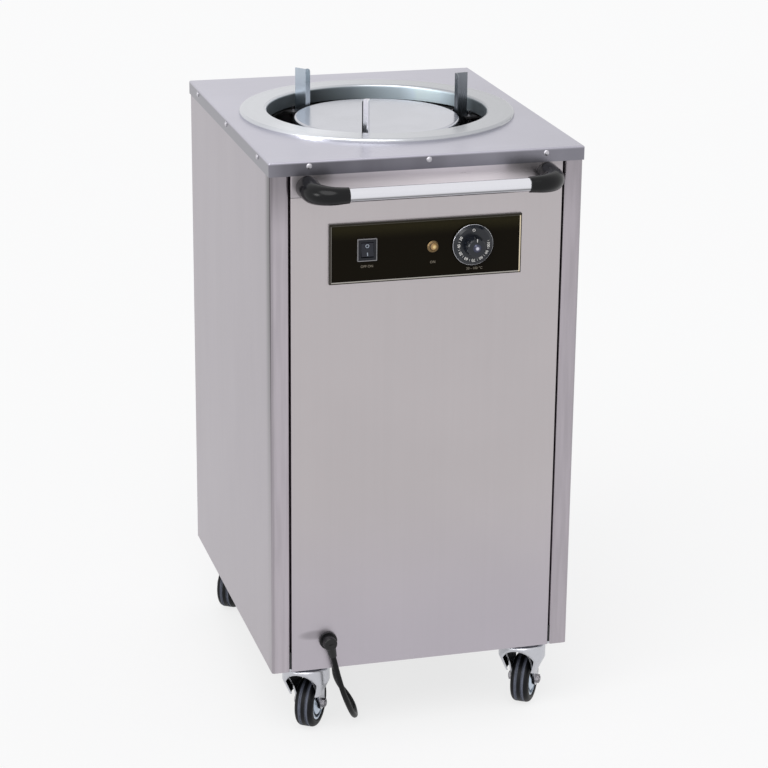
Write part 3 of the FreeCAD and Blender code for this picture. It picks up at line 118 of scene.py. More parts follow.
def coil_points():
    """Half turns that spiral in, climb a layer and spiral out again on top."""
    inwards = [(radius, 0) for radius in COIL_RADII]
    halves = inwards + [(COIL_TURNING, COIL_CLIMB)] + inwards[::-1]
    swell = 1 / math.cos(math.pi / (2 * POINTS_A_HALF_TURN))
    x, z, side = -COIL_RADII[0], COIL_FLOOR, 1
    points = []
    for radius, climb in halves:
        middle = x + radius * side
        for k in range(POINTS_A_HALF_TURN):
            share = (k + 0.5) / POINTS_A_HALF_TURN
            angle = share * math.pi
            points.append((COIL_CENTRE[0] + middle - radius * swell * math.cos(angle) * side,
                           COIL_CENTRE[1] + radius * swell * math.sin(angle) * side, z + climb * share))
        x, z, side = x + 2 * radius * side, z + climb, -side
    points.append((COIL_CENTRE[0] + x, COIL_CENTRE[1], z))
    points.append((COIL_CENTRE[0] + x, COIL_CENTRE[1] - 2 * CORD_RADIUS, z))
    return points


def make_cord():
    """The mains cord on one smooth spline, from the gland's spout to the plug's neck.

    Its thickness lies on the points, because a curve's own box grows by their radius."""
    curve = bpy.data.curves.new("mains_cord", "CURVE")
    curve.dimensions = "3D"
    curve.bevel_depth, curve.bevel_resolution, curve.resolution_u = 1.0, 5, 6
    curve.use_fill_caps = True
    spline = curve.splines.new("NURBS")
    points = CORD_ROUTE + coil_points()
    spline.points.add(len(points) - 1)
    for point, (x, y, z) in zip(spline.points, points):
        point.co = (x, y + MIDDLE, z, 1)
        point.radius = CORD_RADIUS
    spline.order_u = 3
    spline.use_endpoint_u = True
    cord = bpy.data.objects.new("mains_cord", curve)
    bpy.context.scene.collection.objects.link(cord)
    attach(cord, "root")
    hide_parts("cord", "cord_coil")
    x, y, z = CORD_ROUTE[0]
    y + MIDDLE
    return cord


mains_cord = make_cord()


# ---- shader tools ------------------------------------------------------------------------------------

class Wire:
    """A socket of a node tree; sums on it add Math nodes."""

    def __init__(self, tree, socket):
        self.tree, self.socket = tree, socket

    def maths(self, operation, *values):
        return self.tree.node("ShaderNodeMath", {"operation": operation}, dict(enumerate(values)))

    def __add__(self, other): return self.maths("ADD", self, other)
    def __radd__(self, other): return self.maths("ADD", other, self)
    def __sub__(self, other): return self.maths("SUBTRACT", self, other)
    def __rsub__(self, other): return self.maths("SUBTRACT", other, self)
    def __mul__(self, other): return self.maths("MULTIPLY", self, other)
    def __rmul__(self, other): return self.maths("MULTIPLY", other, self)
    def __truediv__(self, other): return self.maths("DIVIDE", self, other)
    def __gt__(self, other): return self.maths("GREATER_THAN", self, other)
    def __or__(self, other): return self + other - self * other
    def __abs__(self): return self.maths("ABSOLUTE", self)

    def sine(self):
        return self.maths("SINE", self)


class Tree:
    """A material's or the world's nodes."""

    def __init__(self, owner):
        owner.use_nodes = True
        self.tree = owner.node_tree

    def node(self, kind, settings=None, inputs=None, out=0):
        """Any node: its settings first, then its sockets' values or links."""
        node = self.tree.nodes.new(kind)
        for name, value in (settings or {}).items():
            if name == "stops":
                self.set_stops(node.color_ramp, value)
            else:
                setattr(node, name, value)
        self.fill(node, inputs or {})
        return Wire(self, node.outputs[out])

    def fill(self, node, inputs):
        for name, value in inputs.items():
            if isinstance(value, Wire):
                self.tree.links.new(value.socket, node.inputs[name])
            else:
                node.inputs[name].default_value = value

    def set_stops(self, ramp, stops):
        while len(ramp.elements) < len(stops):
            ramp.elements.new(1)
        for element, (place, tone) in zip(ramp.elements, stops):
            element.position, element.color = place, (tone, tone, tone, 1)

    def mix(self, factor, first, second):
        """One colour turning into another."""
        colours = {0: factor, 6: first, 7: second}
        return self.node("ShaderNodeMix", {"data_type": "RGBA"}, colours, out=2)

    def between(self, factor, first, second):
        """One value turning into another."""
        return first + factor * (second - first)

    def shade(self, colour, amount):
        """A colour made lighter or darker by a value."""
        plain = colour if isinstance(colour, Wire) else colour[:3]
        return self.node("ShaderNodeVectorMath", {"operation": "SCALE"}, {0: plain, "Scale": amount})

    def noise(self, place, scale, detail=2, roughness=0.5):
        return self.node("ShaderNodeTexNoise", None, {
            "Vector": place, "Scale": scale, "Detail": detail, "Roughness": roughness})

    def smooth(self, value, start, end):
        """0 before start, 1 after end."""
        return self.node("ShaderNodeMapRange", {"interpolation_type": "SMOOTHSTEP"}, {
            "Value": value, "From Min": start, "From Max": end, "To Min": 0, "To Max": 1})

    def ramp(self, value, *stops):
        """A tone that runs through (place, tone) stops, with places from 0 to 1."""
        return self.node("ShaderNodeValToRGB", {"stops": stops}, {0: value})

    def vector(self, operation, first, second, out=0):
        return self.node("ShaderNodeVectorMath", {"operation": operation}, {0: first, 1: second}, out)


class Finish(Tree):
    """A surface: one Principled shader, with its plain numbers set on it."""

    def __init__(self, name, colour, roughness, metallic=0.0, **rest):
        self.material = bpy.data.materials.new(name)
        super().__init__(self.material)
        self.shader = self.tree.nodes["Principled BSDF"]
        self.colour = (*colour, 1)
        self.put({"Base Color": self.colour, "Roughness": roughness, "Metallic": metallic})
        self.put({key.replace("_", " ").title().replace("Ior", "IOR"): value
                  for key, value in rest.items()})
        self.place = self.node("ShaderNodeTexCoord", out="Object")

    def put(self, inputs):
        self.fill(self.shader, inputs)

    def axis(self, name):
        return self.node("ShaderNodeSeparateXYZ", None, {0: self.place}, out=name)

    def away(self, centre, kept=(1, 1, 1)):
        """The way from a centre to a point, along the axes that are kept."""
        return self.vector("MULTIPLY", self.vector("SUBTRACT", self.place, tuple(centre)), kept)

    def length(self, way):
        return self.vector("LENGTH", way, (0, 0, 0), "Value")

    def stretched(self, scale):
        return self.node("ShaderNodeMapping", None, {"Vector": self.place, "Scale": scale})

    def bump(self, height, distance, strength=1.0):
        self.put({"Normal": self.node("ShaderNodeBump", None, {
            "Height": height, "Distance": distance, "Strength": strength})})

    def spot(self, x, z, wide, high):
        """1 in the middle of a soft oval patch on an upright face, 0 outside it."""
        along, up = (self.axis("X") - x) / wide, (self.axis("Z") - z) / high
        return 1 - self.smooth(along * along + up * up, 0.1, 1)

    def facing(self, direction):
        """How far a face looks in a direction, from -1 to 1."""
        normal = self.node("ShaderNodeTexCoord", out="Normal")
        return self.vector("DOT_PRODUCT", normal, direction, "Value")


def rgb(red, green, blue):
    """An sRGB tone of 0 to 255 as the linear colour that the shaders take."""
    return tuple(((tone / 255 + 0.055) / 1.055) ** 2.4 if tone > 10 else tone / 255 / 12.92
                 for tone in (red, green, blue))


def paint(red, green, blue):
    return (*rgb(red, green, blue), 1)


def grey(tone):
    return (tone, tone, tone, 1)


# ---- floor and light ---------------------------------------------------------------------------------

BACKGROUND = (0.955, 0.955, 0.955, 1)
AMBIENT = (0.62, 0.625, 0.64, 1)
FLOOR_TONE = 0.86
FLOOR_HALF = 14
SEEN_GLOW = 0.66
GLOW_LIFT = 0.10


def seen(tree):
    """1 for rays from the camera and for rays mirrored or passed on to it."""
    kinds = [tree.node("ShaderNodeLightPath", out=name)
             for name in ("Is Camera Ray", "Is Glossy Ray", "Is Transmission Ray")]
    return (kinds[0] + kinds[1] + kinds[2]) > 0.5


def set_world():
    world = bpy.data.worlds.new("studio")
    bpy.context.scene.world = world
    tree = Tree(world)
    back = tree.tree.nodes["Background"]
    tree.fill(back, {"Color": tree.mix(seen(tree), AMBIENT, BACKGROUND), "Strength": 1.0})


def set_floor():
    """Pale paper whose own glow keeps the shadow on it faint."""
    bm = bmesh.new()
    bmesh.ops.create_grid(bm, x_segments=1, y_segments=1, size=FLOOR_HALF)
    mesh = bpy.data.meshes.new("floor")
    bm.to_mesh(mesh)
    bm.free()
    floor = bpy.data.objects.new("floor", mesh)
    bpy.context.scene.collection.objects.link(floor)
    paper = Finish("floor_paper", grey(FLOOR_TONE)[:3], 0.9)
    looked_at = seen(paper)
    paper.put({"Base Color": paper.mix(looked_at, grey(FLOOR_TONE), grey(FLOOR_TONE - SEEN_GLOW)),
               "Emission Color": paper.mix(looked_at, grey(0), grey(1)),
               "Emission Strength": SEEN_GLOW + GLOW_LIFT, "Specular IOR Level": 0.0})
    mesh.materials.append(paper.material)


def add_sun(name, towards, strength, spread):
    data = bpy.data.lights.new(name, "SUN")
    data.energy, data.angle = strength, math.radians(spread)
    sun = bpy.data.objects.new(name, data)
    sun.rotation_mode = "QUATERNION"
    sun.rotation_quaternion = Vector(towards).to_track_quat("-Z", "Y")
    bpy.context.scene.collection.objects.link(sun)


set_world()
set_floor()
add_sun("key", (0.45, 0.75, -1.1), 1.35, 50)
add_sun("gloss", (1.0, 0.35, -0.25), 0.5, 20)
bpy.context.scene.view_settings.view_transform = "Standard"


# ---- finishes ----------------------------------------------------------------------------------------

def brushed(name, colour, roughness, grain="z", band=0.05, fine=0.05, cloudy=0.04):
    """Brushed stainless steel: fine lines along the grain, soft bands side by side, a cloudy sheen."""
    steel = Finish(name, colour, roughness, 1.0)
    if grain == "ring":
        radius = steel.length(steel.away(WELL, (1, 1, 0)))
        line = steel.node("ShaderNodeCombineXYZ", None, {"X": radius, "Z": steel.axis("Z")})
    else:
        line = steel.stretched(tuple(0.012 if letter == grain else 1 for letter in "xyz"))
    threads = steel.noise(line, 1100, 2)
    bands = steel.noise(line, 90, 3)
    cloud = steel.noise(steel.place, 7, 3)
    steel.tone = 1 + fine * (threads - 0.5) + band * (bands - 0.5) + cloudy * (cloud - 0.5)
    steel.put({"Base Color": steel.shade(steel.colour, steel.tone),
               "Roughness": roughness + 0.10 * (threads - 0.5) + 0.05 * (cloud - 0.5)})
    steel.bump(threads, 0.000012, 0.6)
    return steel


def streaks(steel, scale, along="z"):
    """Blurred reflections drawn out along one axis, from about 0 to 1."""
    line = steel.stretched(tuple(0.06 if letter == along else 1 for letter in "xyz"))
    return steel.smooth(steel.noise(line, scale, 2), 0.3, 0.7)


def front_finish():
    """Front panel: warm grey, cooler and darker low down, with a painted shadow of the cord gland beside
    it.
    """
    steel = brushed("front_satin", rgb(190, 184, 186), 0.34, "z", band=0.03, fine=0.04)
    cloud = steel.smooth(steel.noise(steel.place, 5, 3), 0.35, 0.65)
    low = 1 - steel.smooth(steel.axis("Z"), PANEL_FOOT, PANEL_FOOT + 0.30)
    tone = steel.tone * (1 - 0.06 * low) * (1 - 0.025 * cloud)
    cool = steel.mix(low, paint(190, 184, 186), paint(190, 184, 192))
    # painted shadow: a dark oval beside the cord gland, where the gland's shadow falls
    painted_gland_shadow = steel.spot(-0.160, PANEL_FOOT + 0.055, 0.030, 0.009)
    steel.put({"Base Color": steel.shade(cool, tone * (1 - 0.30 * painted_gland_shadow))})
    return steel


def strip_finish():
    """Strip behind the handle: painted reflections, bright in the middle of its right half, darker towards
    both ends.
    """
    steel = brushed("strip_satin", rgb(190, 184, 188), 0.30, "x", band=0.06)
    # painted reflections: a bright band over the right half and streaked reflections along the strip
    across = steel.smooth(steel.axis("X"), -0.20, 0.06) - steel.smooth(steel.axis("X"), 0.07, 0.19)
    tone = 0.88 + 0.75 * across - 0.14 * streaks(steel, 70, "x")
    steel.put({"Base Color": steel.shade(steel.colour, steel.tone * tone)})
    return steel


def side_finish(name, face_tone, return_tone, shade, edge):
    """A side panel: an even face, painted shade down the bend, and a return with painted streaked
    reflections and painted shade under the deck and along its outer edge.
    """
    steel = brushed(name, rgb(190, 183, 190), 0.34, "z", band=0.03, cloudy=0.04)
    height, depth = steel.axis("Z"), steel.axis("Y")
    # painted shade down the bend, strongest near the top
    high = steel.smooth(height, PANEL_FOOT + 0.10, DECK_TOP - 0.08)
    face = steel.smooth(depth, FRONT + 0.0006, FRONT + 0.0016)
    bend = face * (1 - steel.smooth(depth, FRONT + 0.004, FRONT + 0.034))
    soft = 1 - 0.03 * steel.smooth(steel.noise(steel.stretched((1, 1, 0.25)), 9, 3), 0.35, 0.65)
    side_tone = face_tone * soft * (1 - (0.12 + 0.60 * high) * bend)
    # painted shade under the deck and along the return's outer edge
    painted_shade_under_deck = steel.smooth(height, DECK_TOP - 0.11, DECK_TOP - 0.02)
    outer = steel.smooth(abs(steel.axis("X")), BODY_HALF - 0.0060, BODY_HALF - 0.0020)
    front_tone = return_tone * (1 - shade * painted_shade_under_deck) * (1 - edge * outer)
    front_tone = front_tone * (1 - 0.10 * streaks(steel, 150))
    tone = steel.between(face, front_tone, side_tone)
    steel.put({"Base Color": steel.shade(steel.colour, steel.tone * tone)})
    return steel


def deck_finish():
    """Deck: satin on top with painted shade to the right, over a skirt painted darker as shade, with
    painted reflections and painted light at its front and left end.
    """
    steel = brushed("deck_satin", rgb(193, 191, 203), 0.30, "x", band=0.03)
    cloud = steel.smooth(steel.noise(steel.place, 6, 3), 0.3, 0.7)
    # painted shade: the top grows dimmer to the right
    painted_shade_rightwards = steel.smooth(steel.axis("X"), 0.02, BODY_HALF)
    top = steel.tone * (1.03 - 0.06 * cloud - 0.12 * painted_shade_rightwards)
    # painted shade: the skirt is a darker copy of the deck's steel, its front painted lighter by the way it
    # faces
    skirt = 1 - steel.smooth(steel.axis("Z"), DECK_TOP - 0.004, DECK_TOP - 0.0005)
    # painted reflections, with painted light rising to the right and at the left corner
    painted_skirt_reflections = streaks(steel, 22, "z")
    lighter = steel.smooth(steel.axis("X"), -0.12, 0.12)
    corner = 1 - steel.smooth(steel.axis("X"), -BODY_HALF, -BODY_HALF + 0.025)
    ahead = steel.smooth(steel.facing((0, -1, 0)), 0.3, 0.8)
    edge = 0.42 + ahead * (0.06 * painted_skirt_reflections + 0.17 * lighter + 0.12 * corner - 0.16)
    steel.put({"Base Color": steel.shade(steel.colour, steel.between(skirt, top, edge))})
    return steel


# painted glint at the ring's front left, and painted light and shade round the collar from left to right
RING_GLINT, GLINT_REACH = WELL + Vector((-0.135, -0.125, RING_TOP)), 0.085
COLLAR_PAINTED_SHADING = ((0.0, 0.14), (0.20, 0.11), (0.31, 0.07), (0.41, 0.15), (0.50, 0.23), (0.62, 0.47),
                (0.73, 0.66), (0.81, 1.0), (0.89, 0.95), (0.93, 0.70), (0.99, 0.14))


def ring_finish():
    """Ring: spun satin with painted light, brightest at the front left under a painted glint and dimmer to
    the right, over a collar painted from dark to pale as light and shade.
    """
    steel = brushed("ring_satin", rgb(203, 205, 210), 0.24, "ring", band=0.12)
    radius = steel.length(steel.away(WELL, (1, 1, 0)))
    # painted shade: the ring grows dimmer to the right
    painted_shade_rightwards = steel.smooth(steel.axis("X"), -0.16, 0.20)
    collar = 1 - steel.smooth(radius, WELL_RADIUS + 0.0008, WELL_RADIUS + 0.0028)
    collar = collar * (1 - steel.smooth(steel.axis("Z"), RING_TOP - 0.004, RING_TOP - 0.001))
    across = (steel.axis("X") + WELL_RADIUS) / (2 * WELL_RADIUS)
    glint = 1 - steel.smooth(steel.length(steel.away(RING_GLINT)), 0.0, GLINT_REACH)
    flat_tone = steel.tone * (1.02 - 0.30 * painted_shade_rightwards) * (1 + 0.28 * glint)
    # painted light and shade round the collar's wall, in a bluish tone
    wall_tone = steel.tone * steel.ramp(across, *COLLAR_PAINTED_SHADING) * 1.65
    colour = steel.mix(collar, steel.colour, paint(192, 206, 214))
    steel.put({"Base Color": steel.shade(colour, steel.between(collar, flat_tone, wall_tone)),
               "Roughness": 0.24 + 0.26 * collar, "Metallic": 1 - 0.45 * collar})
    return steel


def platform_finish():
    """Platform: bright brushed disc, faintly mottled."""
    steel = brushed("platform_bright", rgb(193, 194, 202), 0.20, "x", band=0.03, fine=0.05)
    mottle = steel.smooth(steel.noise(steel.place, 16, 4), 0.3, 0.7)
    steel.put({"Base Color": steel.shade(steel.colour, steel.tone * (1.03 - 0.06 * mottle))})
    return steel


def plain_metal(name, colour, roughness, speckle=0.06):
    """Plated or polished metal with a faint mottle."""
    metal = Finish(name, colour, roughness, 1.0)
    mottle = metal.noise(metal.place, 260, 3)
    metal.tone = 1 + speckle * (mottle - 0.5)
    metal.put({"Base Color": metal.shade(metal.colour, metal.tone),
               "Roughness": roughness + 0.08 * (mottle - 0.5)})
    return metal


def tube_finish():
    """Handle tube: polished, with a painted reflection of the cart's dark front: a dark line low along it
    over a lower half painted a little darker.
    """
    metal = plain_metal("handle_polish", rgb(228, 228, 234), 0.14, 0.02)
    height = metal.axis("Z") - TUBE_HEIGHT
    # painted reflection of the cart's dark front: a dark line low along the tube and a darker lower half
    line = metal.smooth(height, -0.0066, -0.0050) - metal.smooth(height, -0.0040, -0.0022)
    painted_lower_reflection = 1 - metal.smooth(height, -0.0050, 0.0005)
    metal.put({"Base Color": metal.shade(metal.colour, metal.tone * (1 - 0.20 * painted_lower_reflection - 0.50 * line))})
    return metal


def moulded(name, colour, roughness, grain=500, depth=0.00003, mottle=0.15, **rest):
    """Moulded plastic or rubber with a fine texture and slightly uneven gloss."""
    plastic = Finish(name, colour, roughness, **rest)
    texture = plastic.noise(plastic.place, grain, 3)
    cloud = plastic.noise(plastic.place, 30, 2)
    plastic.tone = 1 + mottle * (cloud - 0.5)
    plastic.put({"Base Color": plastic.shade(plastic.colour, plastic.tone),
                 "Roughness": roughness + 0.12 * (cloud - 0.5)})
    plastic.bump(texture, depth, 0.5)
    return plastic


def plate_finish():
    """Control plate: brown-black enamel, a little olive along its top edge."""
    enamel = moulded("plate_enamel", rgb(15, 12, 8), 0.20, 400, 0.000006, specular_ior_level=0.05)
    top = enamel.smooth(enamel.axis("Z"), PLATE_HEIGHT + 0.016, PLATE_HEIGHT + 0.040)
    enamel.put({"Base Color": enamel.mix(top, paint(17, 13, 5), paint(40, 36, 20))})
    return enamel


def frame_finish():
    """Thin frame of the control plate: painted shade along the top, on the left and round its outer edge,
    pale along the bottom, and a warm painted highlight on the right.
    """
    metal = plain_metal("plate_frame", rgb(190, 186, 176), 0.25)
    x, z = metal.axis("X") - PLATE_MIDDLE, metal.axis("Z") - PLATE_HEIGHT
    # painted light and shade: a warm painted highlight on the right, painted shade on the left, along the
    # top and round the outer edge
    right = metal.smooth(x, 0.1350, 0.1358)
    left = 1 - metal.smooth(x, -0.1366, -0.1358)
    top = metal.smooth(z, 0.0395, 0.0405)
    sideways = metal.smooth(abs(x), PLATE_HALF_WIDTH - 0.0008, PLATE_HALF_WIDTH)
    upright = metal.smooth(abs(z), PLATE_HALF_HEIGHT - 0.0008, PLATE_HALF_HEIGHT)
    colour = metal.mix(right, paint(168, 164, 158), paint(226, 212, 184))
    colour = metal.mix(left, colour, paint(84, 80, 76))
    colour = metal.mix(top, colour, paint(48, 45, 38))
    colour = metal.mix(sideways | upright, colour, paint(52, 49, 44))
    metal.put({"Base Color": metal.shade(colour, metal.tone)})
    return metal


def switch_frame_finish():
    """Switch surround: blue-black, with a pale line round its outer edge."""
    plastic = moulded("switch_surround", rgb(20, 22, 28), 0.26, 300, 0.00001, specular_ior_level=0.3)
    along, up = abs(plastic.axis("X") - SWITCH.x), abs(plastic.axis("Z") - SWITCH.z)
    sideways = plastic.smooth(along, SWITCH_HALF_WIDTH - 0.0007, SWITCH_HALF_WIDTH)
    upright = plastic.smooth(up, SWITCH_HALF_HEIGHT - 0.0007, SWITCH_HALF_HEIGHT)
    plastic.put({"Base Color": plastic.mix(sideways | upright, paint(18, 20, 28), paint(132, 130, 132))})
    return plastic


def fork_finish(name):
    """Zinc-plated hood: pale outside, with painted shade inside it and on its undersides."""
    pivot = JOINTS[f"swivel_{name}_turn"]["pos_m"]
    metal = plain_metal(f"fork_zinc_{name}", rgb(196, 197, 203), 0.32, 0.12)
    outwards = metal.vector("NORMALIZE", metal.away(pivot, (1, 1, 0)), (0, 0, 0))
    # painted shade: faces turned in towards the pivot and faces turned down are painted dark
    inside = 1 - metal.smooth(metal.facing(outwards), -0.45, -0.05)
    below = 1 - metal.smooth(metal.facing((0, 0, 1)), -0.95, -0.6)
    dark = inside | below
    metal.put({"Base Color": metal.mix(dark, metal.shade(metal.colour, metal.tone), paint(38, 40, 44)),
               "Roughness": 0.32 + 0.3 * dark})
    return metal


def wheel_places(finish, name):
    """How far a point lies along the axle from the wheel's middle, and how far out from the axle."""
    joint = JOINTS[f"wheel_{name}_spin"]
    arm, axle = finish.away(joint["pos_m"]), tuple(joint["axis"])
    along = finish.vector("DOT_PRODUCT", arm, axle, "Value")
    return along, finish.length(finish.vector("CROSS_PRODUCT", arm, axle))


def tyre_finish(name):
    """Black rubber with two bands of painted light along the grooves of the tread."""
    rubber = moulded(f"tyre_rubber_{name}", rgb(11, 12, 15), 0.48, 700, 0.00004,
                     specular_ior_level=0.18)
    along, out = wheel_places(rubber, name)
    tread = rubber.smooth(out, WHEEL_RADIUS - 0.0045, WHEEL_RADIUS - 0.0015)
    # painted light: pale bands where the tread's grooves catch the light
    painted_tread_light = tread * (1 - rubber.smooth(abs(abs(along) - 0.0052), 0.0008, 0.0030))
    painted_tread_light = painted_tread_light * (0.55 + 0.45 * rubber.noise(rubber.place, 120, 3))
    clean = rubber.shade(rubber.colour, rubber.tone)
    rubber.put({"Base Color": rubber.mix(painted_tread_light, clean, paint(108, 112, 126))})
    return rubber


def hub_finish(name):
    """Plated wheel centre: silver-blue dome, a ring of painted shade round it where the groove lies, and a
    pale rim.
    """
    metal = plain_metal(f"hub_zinc_{name}", rgb(186, 198, 212), 0.28, 0.10)
    out = wheel_places(metal, name)[1]
    # painted shade: a dark ring where the groove lies
    groove = metal.smooth(out, 0.0185, 0.0192) - metal.smooth(out, 0.0218, 0.0226)
    plated = metal.shade(metal.colour, metal.tone)
    metal.put({"Base Color": metal.mix(groove, plated, paint(34, 38, 42))})
    return metal


def from_axis(finish, centre):
    """How far out a point of an upright face lies from an axis that runs front to back."""
    return finish.length(finish.away(centre, (1, 0, 1)))


def lens_finish():
    """Lamp lens: amber, with a pale spot of painted light over the bulb and a ring of painted shade where
    it meets the bezel.
    """
    glass = moulded("amber_lens", rgb(160, 122, 66), 0.15, mottle=0.2, coat_weight=0.5)
    out = from_axis(glass, LAMP + Vector((0.0008, 0, 0.0004)))
    # painted light: a pale spot over the bulb; painted shade: a dark ring where the lens meets the bezel
    painted_light_spot = 1 - glass.smooth(out, 0.0008, 0.0036)
    painted_rim_shade = glass.smooth(out, 0.0044, 0.0056)
    colour = glass.mix(painted_light_spot, paint(152, 116, 62), paint(226, 198, 132))
    glass.put({"Base Color": glass.mix(painted_rim_shade, colour, paint(58, 42, 24))})
    return glass


def cap_finish():
    """Dial cap: smoky plate with a bright turned middle."""
    metal = plain_metal("cap_plate", rgb(190, 192, 206), 0.22, 0.06)
    out = from_axis(metal, DIAL)
    middle = 1 - metal.smooth(out, 0.0012, 0.0034)
    rings = metal.smooth((out * 5200).sine(), -0.4, 0.8)
    colour = metal.mix(middle, paint(74, 76, 92), paint(214, 214, 228))
    metal.put({"Base Color": metal.shade(colour, 0.85 + 0.15 * rings)})
    return metal


def near_guide_finish():
    """The front guide: its face as pale as the platform behind it, with painted shade darkening its folded
    edge.
    """
    steel = brushed("guide_near", rgb(226, 226, 232), 0.24, "z", band=0.06)
    fold = WELL + Vector((math.cos(NEAR_GUIDE), math.sin(NEAR_GUIDE), 0)) * GUIDE_RADIUS
    side = (-math.sin(NEAR_GUIDE), math.cos(NEAR_GUIDE), 0)
    along = steel.vector("DOT_PRODUCT", steel.away(fold), side, "Value")
    # painted shade along the folded edge
    edge = 1 - steel.smooth(along, -GUIDE_HALF + 0.0012, -GUIDE_HALF + 0.0022)
    steel.put({"Base Color": steel.mix(edge, steel.shade(steel.colour, steel.tone), paint(52, 52, 58))})
    return steel


FINISHES = {
    "deck_steel": deck_finish(),
    "ring_steel": ring_finish(),
    "panel_steel": brushed("panel_satin", rgb(188, 183, 187), 0.34, "z"),
    # painted shade: the steel inside the cabinet is painted darker
    "inner_steel": brushed("inner_painted_shade", rgb(128, 128, 130), 0.42, "z"),
    "platform_steel": platform_finish(),
    "guide_steel": brushed("guide_satin", rgb(184, 194, 204), 0.25, "z", band=0.12),
    "bright_steel": plain_metal("bright_steel", rgb(205, 205, 208), 0.18),
    "chrome": plain_metal("polished_chrome", rgb(226, 226, 232), 0.12, 0.02),
    "black_gloss": moulded("black_gloss", rgb(9, 10, 12), 0.20, 300, 0.000006, specular_ior_level=0.24),
    "black_plastic": moulded("black_moulding", rgb(16, 16, 18), 0.34, specular_ior_level=0.35),
    "amber_lens": lens_finish(),
    "nylon": moulded("nylon", rgb(225, 222, 212), 0.45),
    "heater_steel": plain_metal("heater_sheath", rgb(120, 112, 104), 0.42, 0.3),
    "cord_rubber": moulded("cord_rubber", rgb(10, 10, 12), 0.45, specular_ior_level=0.18),
    "zinc": plain_metal("zinc_plate", rgb(196, 198, 204), 0.30, 0.10),
}

OWN_FINISHES = {
    "front_panel": front_finish(),
    "front_strip": strip_finish(),
    # left and right are lit and shaded copies of one steel: their tones are painted light and shade
    "side_panel_left": side_finish("left_satin", 0.80, 0.95, 0.42, 0.26),
    "side_panel_right": side_finish("right_satin", 0.88, 0.86, 0.15, 0.05),
    "control_plate": plate_finish(),
    "control_frame": frame_finish(),
    "rocker_frame": switch_frame_finish(),
    "rocker": moulded("rocker_moulding", rgb(26, 28, 38), 0.24, 300, 0.00001, specular_ior_level=0.35),
    "dial": moulded("dial_moulding", rgb(20, 24, 32), 0.20, 300, 0.00001, specular_ior_level=0.45),
    "lamp_bezel": plain_metal("lamp_bronze", rgb(122, 102, 74), 0.30, 0.10),
    "handle_tube": tube_finish(),
    "dial_cap": cap_finish(),
    "cabinet_screws": plain_metal("screw_satin", rgb(196, 194, 200), 0.42, 0.10),
    "plate_guide_1": brushed("guide_shade", rgb(128, 132, 138), 0.28, "z", band=0.2),
    "plate_guide_3": near_guide_finish(),
    "base_pan": brushed("pan_shade", rgb(58, 58, 60), 0.5, "x"),
    "corner_posts": brushed("post_shade", rgb(58, 58, 60), 0.5, "z"),
    "upper_ring": brushed("upper_ring_shade", rgb(92, 92, 94), 0.5, "x"),
    "print": moulded("panel_print", rgb(206, 204, 200), 0.5, mottle=0.05),
    "mark": moulded("rocker_print", rgb(150, 158, 170), 0.5, mottle=0.05),
    "caption": moulded("panel_caption", rgb(112, 104, 90), 0.5, mottle=0.2),
}
for corner in ("fl", "fr", "bl", "br"):
    OWN_FINISHES[f"axle_{corner}"] = plain_metal(f"axle_zinc_{corner}", rgb(150, 148, 152), 0.45, 0.15)
    OWN_FINISHES[f"fork_{corner}"] = fork_finish(corner)
    OWN_FINISHES[f"tyre_{corner}"] = tyre_finish(corner)
    OWN_FINISHES[f"hub_{corner}"] = hub_finish(corner)


def dress(thing, slot, own=None):
    """Give a piece the finish of one of the record's slots, or the one made for it alone."""
    finish = OWN_FINISHES[own] if own in OWN_FINISHES else FINISHES[slot]
    thing.data.materials.clear()
    thing.data.materials.append(finish.material)


for row in frame["record"]["subparts"]:
    dress(NODES[row["node"]], row["material_slot"], row["node"])
dress(mains_cord, "cord_rubber")


# ---- new pieces --------------------------------------------------------------------------------------

UPRIGHT = Matrix.Rotation(math.radians(90), 4, "X")
INK_THICKNESS = 0.00012


def solid(name, bm, slot, body="root", own=None, smooth=True):
    """Turn a bmesh into a piece that rides on a body and takes a slot's finish."""
    bmesh.ops.recalc_face_normals(bm, faces=bm.faces)
    mesh = bpy.data.meshes.new(name)
    bm.to_mesh(mesh)
    bm.free()
    piece = bpy.data.objects.new(name, mesh)
    bpy.context.scene.collection.objects.link(piece)
    if smooth:
        mesh.shade_smooth()
    dress(piece, slot, own)
    if body:
        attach(piece, body)
    return piece


def standing(centre, axis):
    """Turns a shape made about +Z so that it stands on centre along axis."""
    lean = Vector((0, 0, 1)).rotation_difference(Vector(axis)).to_matrix().to_4x4()
    return Matrix.Translation(centre) @ lean


def hoop(bm, centre, axis, radius, thickness, around, section=8, flat=1.0):
    """A ring of round section about an axis; a flat below 1 presses it along that axis."""
    made = bmesh.ops.create_circle(bm, segments=section, radius=thickness)["verts"]
    bmesh.ops.transform(bm, verts=made, matrix=standing(centre, axis) @ Matrix.Translation((radius, 0, 0))
                        @ Matrix.Diagonal((1, 1, flat, 1)) @ UPRIGHT)
    edges = list({edge for vert in made for edge in vert.link_edges})
    bmesh.ops.spin(bm, geom=made + edges, cent=centre, axis=axis, dvec=(0, 0, 0), angle=math.tau,
                   steps=around, use_merge=True, use_duplicate=False)


def bar(where, size, rounding, steps):
    """A small block with broken edges, stood on its place."""
    bm = bmesh.new()
    bmesh.ops.create_cube(bm, size=1)
    bmesh.ops.transform(bm, verts=bm.verts, matrix=where @ Matrix.Diagonal((*size, 1)))
    bmesh.ops.bevel(bm, geom=bm.edges[:], offset=rounding, affect="EDGES", segments=steps, profile=0.5,
                    material=-1)
    return bm


